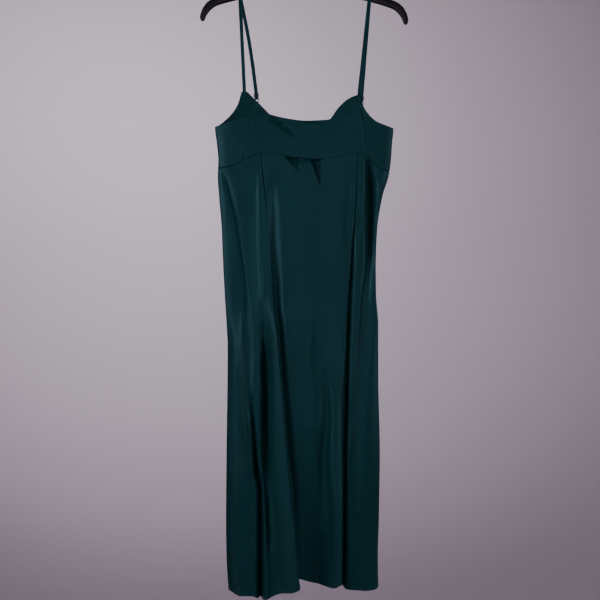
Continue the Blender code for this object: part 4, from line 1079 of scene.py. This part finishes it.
def wire_rings(path, radii, sides, loop=False):
    """Rings of a round wire that lies in a plane of constant y. radii is one radius, or one a point."""
    path = np.asarray(path, float)
    radii = np.broadcast_to(radii, len(path))
    if loop:
        tangents = np.roll(path, -1, axis=0) - np.roll(path, 1, axis=0)
        tangents /= np.linalg.norm(tangents, axis=1, keepdims=True)
    else:
        tangents = directions(path)
    through = np.array([0, 1.0, 0])
    beside = np.cross(tangents, through)
    return np.array([
        [point + radius * (math.cos(turn) * side + math.sin(turn) * through) for turn in circle(sides)]
        for point, side, radius in zip(path, beside, radii)])


# ---------------------------------------------------------------- the hanger

ARM_STEP = 0.0012
ARM_SIDES = 36
ARM_LIP = 0.0004
ARM_LIP_REACH = 0.0016 / 3
# An arm's tip is a round of this many steps. It reaches on by this share of its half height.
TIP_STEPS = 8
TIP_REACH = 0.6
TIP_END = 0.0003
NOTCH_WALL = 0.0015
SOCKET_SIDES = 48
# The socket's outside from its hidden foot up: shares of its height and of its radius at the top.
SOCKET_PROFILE = (
    (-0.004, SOCKET_FLARE), (0.2, SOCKET_FLARE * 0.99), (0.5, SOCKET_FLARE * 0.93), (0.8, 1.03),
    (0.9, 1), (0.965, 0.97), (0.992, 0.88), (1, 0.74),
)
BEND_POINTS = 90
HOOK_IN_SOCKET = 0.004
HOOK_STEP = 0.0008
HOOK_PASSES = 4
HOOK_SIDES = 20
HOOK_TIP_END = 0.0001


def arm_section(x):
    """The middle height and half height of the arm at a distance from the hanger's middle."""
    return float(table_curve(ARM, "z", abs(x))), float(table_curve(ARM, "half_height", abs(x)))


def notch_floor():
    z, half = arm_section(STRAP_X_ON_ARM)
    return z + half - NOTCH_DEPTH


def arm_line():
    """Even stations along the middle line of one arm, from its middle to its round tip."""
    rows = np.array(ARM)
    run = run_along(rows[:, :2])
    wanted = np.arange(0, run[-1], ARM_STEP)
    stations = np.stack([smooth_curve(run, values, wanted) for values in rows.T], axis=1)
    end = stations[-1, :2]
    radius = stations[-1, 2]
    ahead = (stations[-1] - stations[-2])[:2]
    ahead /= np.linalg.norm(ahead)
    round_tip = [
        (*(end + ahead * radius * TIP_REACH * math.sin(turn)), max(radius * math.cos(turn), TIP_END))
        for turn in np.linspace(0, math.pi / 2, TIP_STEPS + 1)[1:]]
    return np.concatenate([stations, round_tip])


def notch_share(x):
    """1 in the notch for the strap, 0 away from it, with a short sloped wall between."""
    past_middle = abs(abs(x) - STRAP_X_ON_ARM)
    return float(ease_in((NOTCH_REACH + NOTCH_WALL - past_middle) / NOTCH_WALL))


def arm_ring(x, z, half_height, slope):
    """A section with round top and bottom, flatter sides and a faint parting line along its middle."""
    top = z + half_height
    notch = notch_share(x)
    top += (notch_floor() - top) * notch
    bottom = z - half_height
    radius = min(ARM_THICKNESS / 2, (top - bottom) / 2)
    straight = (top - bottom) / 2 - radius
    lean = Matrix.Rotation(slope, 3, "Y")
    ring = []
    for turn in circle(ARM_SIDES) + math.pi / ARM_SIDES:
        y = radius * math.cos(turn)
        up = radius * math.sin(turn) + math.copysign(straight, math.sin(turn))
        up += math.copysign(ARM_LIP / 2 * bump(y, ARM_LIP_REACH) * (1 - notch), up)
        ring.append(Vector((x, 0, (top + bottom) / 2)) + lean @ Vector((0, y, up)))
    return ring


def place_tilted(obj, slot, *nodes):
    """Places a piece of the hanger, tilted about the rail as the hanger hangs."""
    obj.data.transform(Matrix.Rotation(ARM_TILT, 4, "Y"))
    place(obj, slot, *nodes)


def build_arms(plastic):
    """Both arms as one moulding, and the socket for the hook on it."""
    half = arm_line()
    stations = [(-x, z, h) for x, z, h in half[:0:-1]] + [tuple(row) for row in half]
    rings = []
    for i, (x, z, half_height) in enumerate(stations):
        before = stations[max(i - 1, 0)]
        after = stations[min(i + 1, len(stations) - 1)]
        slope = -math.atan2(after[1] - before[1], after[0] - before[0])
        slope *= 1 - notch_share(x)
        rings.append(arm_ring(x, z, half_height, slope))
    arms = add_sweep("hanger_arms", rings, plastic, smooth_angle=50)
    place_tilted(arms, "hanger_plastic", "hanger_body")

    rise = SOCKET_TOP - ARM[0].z
    profile = [(SOCKET_RADIUS * wide, ARM[0].z + rise * share) for share, wide in SOCKET_PROFILE]
    rings = [[(radius * math.cos(turn), radius * math.sin(turn), z) for turn in circle(SOCKET_SIDES)]
             for radius, z in profile]
    place_tilted(add_sweep("hanger_socket", rings, plastic, smooth_angle=50), "hanger_plastic")


def build_hook(steel):
    """The wire up from the socket, round over the rail and down to its rounded tip."""
    wire_radius = HOOK_WIRE / 2
    radius = HOOK_INNER_RADIUS + wire_radius
    bend = [(radius * math.cos(turn), 0, -HOOK_INNER_RADIUS + radius * math.sin(turn))
            for turn in np.linspace(*HOOK_BEND, BEND_POINTS)]
    shank = [(0, 0, SOCKET_TOP - HOOK_IN_SOCKET)] + [(x, 0, z) for x, z in HOOK_SHANK]
    path = soften(resample(np.array(shank + bend), HOOK_STEP), HOOK_PASSES)
    radii = np.full(len(path), wire_radius)
    left = np.linalg.norm(path - path[-1], axis=1)
    near_tip = (left < wire_radius) & (np.arange(len(path)) > len(path) // 2)
    inwards = wire_radius - left[near_tip]
    radii[near_tip] = np.sqrt(np.maximum(wire_radius**2 - inwards**2, HOOK_TIP_END**2))
    hook = add_sweep("hanger_hook_wire", wire_rings(path, radii, HOOK_SIDES), steel)
    place_tilted(hook, "hook_steel", "hanger_hook")


# ---------------------------------------------------------------- straps and their fittings

STRAP_POINTS = 33
WEAVE_POINTS = 37
LOOP_POINTS = 21
CORNER_STEPS = 9
WIRE_SIDES = 12
BAR_THINNER = 0.97
# A strap's middle line runs round a fitting's wire at this distance from the wire's middle.
RING_TO_STRAP = RING_WIRE / 2 + STRAP_PLAY + STRAP_THICKNESS / 2
SLIDER_TO_STRAP = SLIDER_WIRE / 2 + STRAP_PLAY + STRAP_THICKNESS / 2
# The strap's cut end lies behind the slider: shares of SLIDER_TO_STRAP out, and of half the slider down.
STRAP_CUT_END = ((1.25, 0.72), (1.15, 0.98))


def tilted(x, z):
    """A point of the hanger after its tilt about the rail."""
    point = Matrix.Rotation(ARM_TILT, 3, "Y") @ Vector((x, 0, z))
    return point.x, point.z


def wrap_angle(centre_z, radius, y, z):
    """How far round the arm, from its top, a taut strap to (y, z) leaves it."""
    distance = math.hypot(y, z - centre_z)
    below = math.atan2(abs(y), centre_z - z)
    return math.pi - below - math.acos(radius / distance)


def strap_over_arm(arm_x, back_end, front_end):
    """The strap's middle line from its back end up, over the arm, and down to its front end."""
    top_x, floor = tilted(arm_x, notch_floor())
    centre = floor - ARM_THICKNESS / 2
    radius = ARM_THICKNESS / 2 + STRAP_PLAY + STRAP_THICKNESS / 2
    leave_back = wrap_angle(centre, radius, back_end[1], back_end[2])
    leave_front = wrap_angle(centre, radius, front_end[1], front_end[2])
    arc = np.array([
        (top_x, radius * math.sin(angle), centre + radius * math.cos(angle))
        for angle in np.linspace(-leave_back, leave_front, STRAP_POINTS)])
    shares = np.linspace(0, 1, STRAP_POINTS)[:, None]
    back_run = back_end + (arc[0] - back_end) * shares
    if arm_x < 0:
        back_run[:, :1] += np.sin(math.pi * shares) * STRAP_BOW
    front_run = arc[-1] + (front_end - arc[-1]) * shares
    return np.concatenate([back_run[:-1], arc, front_run[1:]])


def wire_turn(ring, wire_z, rise):
    """Half a turn of band round one wire of a ring, over it where rise is positive and under it if not."""
    return [(ring[0], ring[1] - RING_TO_STRAP * math.cos(angle), wire_z + rise * math.sin(angle))
            for angle in np.linspace(0, math.pi, LOOP_POINTS)]


def fitting_weave(slider, ring):
    """The strap's lower end: through the slider, round the ring's top wire, and up behind to its end."""
    pitch = (SLIDER_HEIGHT - SLIDER_WIRE) / 2
    end = [(slider[0], slider[1] + SLIDER_TO_STRAP * out, slider[2] - pitch * down)
           for out, down in STRAP_CUT_END]
    wire_z = ring[2] + (RING_HEIGHT - RING_WIRE) / 2
    turn = wire_turn(ring, wire_z, -RING_TO_STRAP)
    up = [(slider[0], slider[1] + SLIDER_TO_STRAP * math.cos(math.pi * share), slider[2] + pitch * share)
          for share in np.linspace(-1, 1, WEAVE_POINTS)]
    return np.array(end + turn[::-1] + up)


def rounded_loop(width, height, corner, centre):
    """The middle line of a round-cornered rectangular wire loop, in a plane of constant y."""
    points = []
    for number, (side_x, side_z) in enumerate(((1, 1), (-1, 1), (-1, -1), (1, -1))):
        for step in range(CORNER_STEPS + 1):
            angle = math.pi / 2 * (number + step / CORNER_STEPS)
            points.append((centre[0] + side_x * (width / 2 - corner) + corner * math.cos(angle), centre[1],
                           centre[2] + side_z * (height / 2 - corner) + corner * math.sin(angle)))
    return np.array(points)


def build_strap(side, ends, satin, coated):
    """A strap with its slider, its ring, and the tab that sews the ring to the back."""
    arm_x = ends["arm"]
    back_x, back_drop = ends["back"]
    front_x, front_drop = ends["front"]
    back_y = surface_y(BACK, back_x, back_drop)
    front_y = surface_y(FRONT, front_x, front_drop)
    lean = FITTINGS_LEAN if arm_x > 0 else -FITTINGS_LEAN
    tab_foot = np.array([back_x, back_y, -back_drop + SEAM_GAP])
    ring = tab_foot + np.array([lean * RING_TO_CLOTH, RING_STANDS_IN, RING_TO_CLOTH])
    slider = ring + np.array([lean * SLIDER_TO_RING, SLIDER_STANDS_IN, SLIDER_TO_RING])

    pitch = (SLIDER_HEIGHT - SLIDER_WIRE) / 2
    weave = fitting_weave(slider, ring)
    above = slider + np.array([lean * WEAVE_LEAD, WEAVE_LEAD_IN, pitch + WEAVE_LEAD])
    front_end = np.array([front_x, front_y, -front_drop + SEAM_GAP])
    sewn_in = front_end - np.array([0, STRAP_BEHIND_CLOTH, STRAP_SEWN_IN])
    path = np.concatenate([weave, strap_over_arm(arm_x, above, front_end), [sewn_in]])
    strap = add_ribbon("satin_strap_" + side, path, satin)
    place(strap, "strap_satin", "strap_" + side)

    over = wire_turn(ring, ring[2] - (RING_HEIGHT - RING_WIRE) / 2, RING_TO_STRAP)
    spread = STRAP_THICKNESS / 2 + STRAP_PLAY / 2
    sewn = tab_foot[2] - TAB_SEWN_IN
    foot = [(back_x, back_y + spread, sewn), (back_x, back_y + 3 * spread, sewn)]
    tab = add_ribbon("satin_tab_" + side, np.array(foot[:1] + over + foot[1:]), satin)
    place(tab, "strap_satin", "strap_tab_" + side)

    for name, wire, width, height, corner, centre in (
            ("ring_", RING_WIRE, RING_WIDTH, RING_HEIGHT, RING_CORNER, ring),
            ("slider_", SLIDER_WIRE, SLIDER_WIDTH, SLIDER_HEIGHT, SLIDER_CORNER, slider)):
        loop = rounded_loop(width - wire, height - wire, corner, centre)
        rings = wire_rings(loop, wire / 2, WIRE_SIDES, loop=True)
        fitting = add_sweep("coated_" + name + side, rings, coated, loop=True)
        place(fitting, "coated_metal", "strap_" + name + side)
    reach = (SLIDER_WIDTH - SLIDER_WIRE) / 2
    line = [(slider[0] + reach * share, slider[1], slider[2]) for share in (-1, 0, 1)]
    rings = wire_rings(line, SLIDER_WIRE / 2 * BAR_THINNER, WIRE_SIDES)
    place(add_sweep("coated_bar_" + side, rings, coated), "coated_metal")


# ---------------------------------------------------------------- materials


class Nodes:
    """A material's node tree, with short calls to add and join its nodes."""

    def __init__(self, name):
        self.material = bpy.data.materials.new(name)
        self.material.use_nodes = True
        self.tree = self.material.node_tree
        self.tree.nodes.clear()
        output = self.add("ShaderNodeOutputMaterial")
        self.shader = self.add("ShaderNodeBsdfPrincipled")
        self.tree.links.new(self.shader.outputs["BSDF"], output.inputs["Surface"])
        self.solid = self.add("ShaderNodeTexCoord").outputs["Object"]

    def add(self, kind, inputs=(), **settings):
        node = self.tree.nodes.new(kind)
        for name, value in settings.items():
            setattr(node, name, value)
        for name, value in dict(inputs).items():
            self.put(node.inputs[name], value)
        return node

    def put(self, socket, value):
        if isinstance(value, bpy.types.NodeSocket):
            self.tree.links.new(value, socket)
        else:
            socket.default_value = value

    def set(self, **values):
        """Sets the shader's own sockets, by their names with _ for a space."""
        for name, value in values.items():
            self.put(self.shader.inputs[name.replace("_", " ")], value)

    def noise(self, where, scale, detail=2.0, roughness=0.5):
        node = self.add("ShaderNodeTexNoise", {"Vector": where, "Scale": scale, "Detail": detail,
                                               "Roughness": roughness})
        return node.outputs["Fac"]

    def stretched(self, where, scale):
        """Scales the coordinates, so that a noise is finer along an axis with a larger scale."""
        node = self.add("ShaderNodeMapping", {"Vector": where, "Scale": scale})
        return node.outputs["Vector"]

    def ranged(self, value, low, high, start=0.0, end=1.0):
        """Maps a value's range from start to end onto low to high."""
        node = self.add("ShaderNodeMapRange", {"Value": value, "From Min": start, "From Max": end,
                                               "To Min": low, "To Max": high})
        return node.outputs["Result"]

    def mixed(self, share, colours):
        """Mixes a pair of colours by a share that varies over the surface."""
        node = self.add("ShaderNodeMix", data_type="RGBA")
        self.put(node.inputs["Factor"], share)
        for name, colour in zip("AB", colours):
            self.put(node.inputs[name], (*colour, 1.0))
        return node.outputs["Result"]

    def bump(self, height, distance, strength, below=None):
        """Fine relief for the light only, on top of another such relief where below is given."""
        node = self.add("ShaderNodeBump", {"Height": height, "Distance": distance, "Strength": strength})
        if below is not None:
            self.put(node.inputs["Normal"], below)
        return node.outputs["Normal"]


# The two colours that each material mixes.
SATIN_COLOURS = ((0.0040, 0.0310, 0.0335), (0.0060, 0.0430, 0.0460))
THREAD_COLOURS = ((0.0045, 0.032, 0.036), (0.0080, 0.050, 0.055))
ENAMEL_COLOURS = ((0.003, 0.014, 0.016), (0.030, 0.045, 0.048))
PLASTIC_COLOURS = ((0.0042, 0.0038, 0.0046), (0.020, 0.019, 0.021))
ZINC_COLOURS = ((0.60, 0.60, 0.62), (0.42, 0.41, 0.40))
PAINT_COLOURS = ((0.565, 0.482, 0.568), (0.595, 0.517, 0.598))
# How many floats and streaks of the weave lie in a metre, across the thread and along it.
FLOATS_A_METRE = (5200, 420, 1)
STREAKS_A_METRE = (900, 18, 1)


def satin_material(name):
    """Polyester satin: long floats down the cloth, a soft streaky gloss and fine handling creases."""
    nodes = Nodes(name)
    thread = nodes.add("ShaderNodeUVMap", uv_map="thread").outputs["UV"]
    floats = nodes.noise(nodes.stretched(thread, FLOATS_A_METRE), 1.0, 1.0)
    streaks = nodes.noise(nodes.stretched(thread, STREAKS_A_METRE), 1.0, 3.0)
    rumple = nodes.noise(nodes.stretched(nodes.solid, (1.0, 1.0, 0.45)), 95.0, 3.0, 0.55)
    cloudy = nodes.noise(nodes.stretched(nodes.solid, (1.0, 1.0, 0.4)), 14.0, 2.0)
    nodes.set(
        Base_Color=nodes.mixed(nodes.ranged(cloudy, 0.1, 0.9, 0.3, 0.7), SATIN_COLOURS),
        Roughness=nodes.ranged(streaks, 0.37, 0.46, 0.3, 0.7),
        Specular_IOR_Level=0.24,
        Specular_Tint=(0.34, 0.74, 1.0, 1.0),
        Sheen_Weight=0.05,
        Sheen_Roughness=0.35,
        Sheen_Tint=(0.20, 0.75, 0.85, 1.0))
    soft = nodes.bump(rumple, 0.0010, 0.25)
    lines = nodes.bump(streaks, 0.0002, 0.15, soft)
    nodes.set(Normal=nodes.bump(floats, 0.00005, 0.35, lines))
    return nodes.material


def thread_material():
    nodes = Nodes("sewing_thread")
    twist = nodes.noise(nodes.solid, 2600.0, 1.0)
    nodes.set(Base_Color=nodes.mixed(twist, THREAD_COLOURS), Roughness=0.62, Specular_IOR_Level=0.25,
              Normal=nodes.bump(twist, 0.00008, 0.6))
    return nodes.material


def coated_material():
    """Dyed-to-match enamel on the rings and sliders, worn thin in small patches."""
    nodes = Nodes("coated_metal_fittings")
    pits = nodes.noise(nodes.solid, 900.0, 3.0)
    rubs = nodes.noise(nodes.solid, 420.0, 4.0, 0.65)
    worn = nodes.ranged(rubs, 0.0, 1.0, 0.62, 0.72)
    nodes.set(Base_Color=nodes.mixed(worn, ENAMEL_COLOURS),
              Metallic=0.35,
              Roughness=nodes.ranged(pits, 0.22, 0.42),
              Normal=nodes.bump(pits, 0.00006, 0.4))
    return nodes.material


def plastic_material():
    """Moulded black polystyrene: fine flow marks, a little dust and rubbed patches."""
    nodes = Nodes("moulded_plastic")
    grain = nodes.noise(nodes.solid, 1500.0, 2.0)
    flow = nodes.noise(nodes.stretched(nodes.solid, (0.25, 1.0, 1.0)), 70.0, 4.0, 0.6)
    dust = nodes.ranged(nodes.noise(nodes.solid, 260.0, 5.0, 0.7), 0.0, 0.6, 0.60, 0.82)
    nodes.set(Base_Color=nodes.mixed(dust, PLASTIC_COLOURS),
              Roughness=nodes.ranged(flow, 0.30, 0.50, 0.3, 0.7),
              Specular_IOR_Level=0.35)
    nodes.set(Normal=nodes.bump(grain, 0.00004, 0.35, nodes.bump(flow, 0.0002, 0.15)))
    return nodes.material


def steel_material():
    """Bright zinc-plated wire with drawing lines and small rubbed spots."""
    nodes = Nodes("plated_wire")
    lines = nodes.noise(nodes.stretched(nodes.solid, (1.0, 6.0, 1.0)), 500.0, 3.0)
    spots = nodes.ranged(nodes.noise(nodes.solid, 190.0, 4.0, 0.6), 0.0, 1.0, 0.58, 0.72)
    nodes.set(Base_Color=nodes.mixed(spots, ZINC_COLOURS),
              Metallic=1.0,
              Roughness=nodes.ranged(lines, 0.16, 0.34),
              Normal=nodes.bump(lines, 0.00005, 0.3))
    return nodes.material


def paint_material():
    """The plain matt surface round the dress."""
    nodes = Nodes("pale_paint")
    patches = nodes.noise(nodes.solid, 0.9, 2.0)
    roller = nodes.noise(nodes.solid, 420.0, 3.0)
    nodes.set(Base_Color=nodes.mixed(patches, PAINT_COLOURS), Roughness=0.85, Specular_IOR_Level=0.2,
              Normal=nodes.bump(roller, 0.0006, 0.15))
    return nodes.material


# ---------------------------------------------------------------- the room, lights and camera

FLOOR_Z = -1.88
FLOOR_REACH = 1.75
WALL_REACH = 3.20
WALL_TOP = 2.40
ROOM_SIDES = 128
ROOM_HUB = 0.02
SWEEP_POINTS = 24


def build_room(material):
    """A floor that sweeps up into a round wall, so that every side has the same plain backdrop."""
    sweep_radius = WALL_REACH - FLOOR_REACH
    profile = [(ROOM_HUB, FLOOR_Z), (FLOOR_REACH / 2, FLOOR_Z)]
    profile += [(FLOOR_REACH + sweep_radius * math.sin(turn), FLOOR_Z + sweep_radius * (1 - math.cos(turn)))
                for turn in np.linspace(0, math.pi / 2, SWEEP_POINTS)]
    profile.append((WALL_REACH, WALL_TOP))
    points = [(reach * math.cos(turn), reach * math.sin(turn), z) for reach, z in profile
              for turn in circle(ROOM_SIDES)]
    faces = []
    for start in range(0, ROOM_SIDES * (len(profile) - 1), ROOM_SIDES):
        for j in range(ROOM_SIDES):
            k = (j + 1) % ROOM_SIDES
            faces.append((start + j, start + k, start + ROOM_SIDES + k, start + ROOM_SIDES + j))
    faces.append(tuple(range(ROOM_SIDES - 1, -1, -1)))
    add_object("plain_room", points, faces, material)


Lamp = namedtuple("Lamp", "name place target width height spread power")
LAMPS = (
    Lamp("key", (-2.40, -1.95, -0.60), (0.0, 0.0, -0.80), 1.3, 2.4, 80, 12.4),
    Lamp("right fill", (2.65, -1.35, -0.70), (0.0, 0.0, -0.80), 1.3, 2.2, 80, 5.4),
    Lamp("front fill", (0.2, -2.95, -0.55), (0.0, 0.0, -1.00), 1.6, 1.6, 80, 2.6),
    Lamp("far side key", (2.55, 1.75, -0.25), (0.0, 0.0, -0.72), 1.3, 2.0, 80, 8.0),
    Lamp("far side fill", (-0.6, 2.9, 0.0), (0.0, 0.0, -0.72), 1.6, 1.6, 80, 3.4),
    Lamp("wall wash", (-0.9, 0.5, 0.6), (-0.62, 3.13, -0.05), 0.9, 0.9, 96, 24),
)
LAMP_COLOUR = (1.0, 0.985, 1.0)
AMBIENT = (1.0, 0.99, 1.0)
AMBIENT_STRENGTH = 0.23


def build_lights():
    for lamp in LAMPS:
        light = bpy.data.lights.new(lamp.name, "AREA")
        light.shape = "RECTANGLE"
        light.size = lamp.width
        light.size_y = lamp.height
        light.spread = math.radians(lamp.spread)
        light.energy = lamp.power
        light.color = LAMP_COLOUR
        obj = bpy.data.objects.new(lamp.name, light)
        obj.location = lamp.place
        aim = Vector(lamp.target) - Vector(lamp.place)
        obj.rotation_euler = aim.to_track_quat("-Z", "Y").to_euler()
        obj.visible_camera = False
        bpy.context.scene.collection.objects.link(obj)
    world = bpy.data.worlds.new("soft room light")
    world.use_nodes = True
    background = world.node_tree.nodes["Background"]
    background.inputs["Color"].default_value = (*AMBIENT, 1.0)
    background.inputs["Strength"].default_value = AMBIENT_STRENGTH
    bpy.context.scene.world = world


CAMERA_PLACE = (-0.0115, -2.0, -0.7414)
CAMERA_LENS = 58.2


def build_camera():
    camera = bpy.data.cameras.new("camera")
    camera.lens = CAMERA_LENS
    obj = bpy.data.objects.new("camera", camera)
    obj.location = CAMERA_PLACE
    obj.rotation_euler = (math.pi / 2, 0, 0)
    bpy.context.scene.collection.objects.link(obj)
    bpy.context.scene.camera = obj


# ---------------------------------------------------------------- all of it


def main():
    satin = satin_material("satin_cloth")
    strap_satin = satin_material("satin_strap_cloth")
    thread = thread_material()
    build_camera()
    build_room(paint_material())
    build_lights()
    for panel in PANELS:
        obj, laid = build_panel(panel, satin)
        if panel.finishes[1] == HEM:
            line = edge_line(laid, STITCH_LINE)
            build_stitches("hem_stitches_" + panel.node, line, thread)
    build_arms(plastic_material())
    build_hook(steel_material())
    coated = coated_material()
    for side, ends in STRAP_ENDS.items():
        build_strap(side, ends, strap_satin, coated)


main()
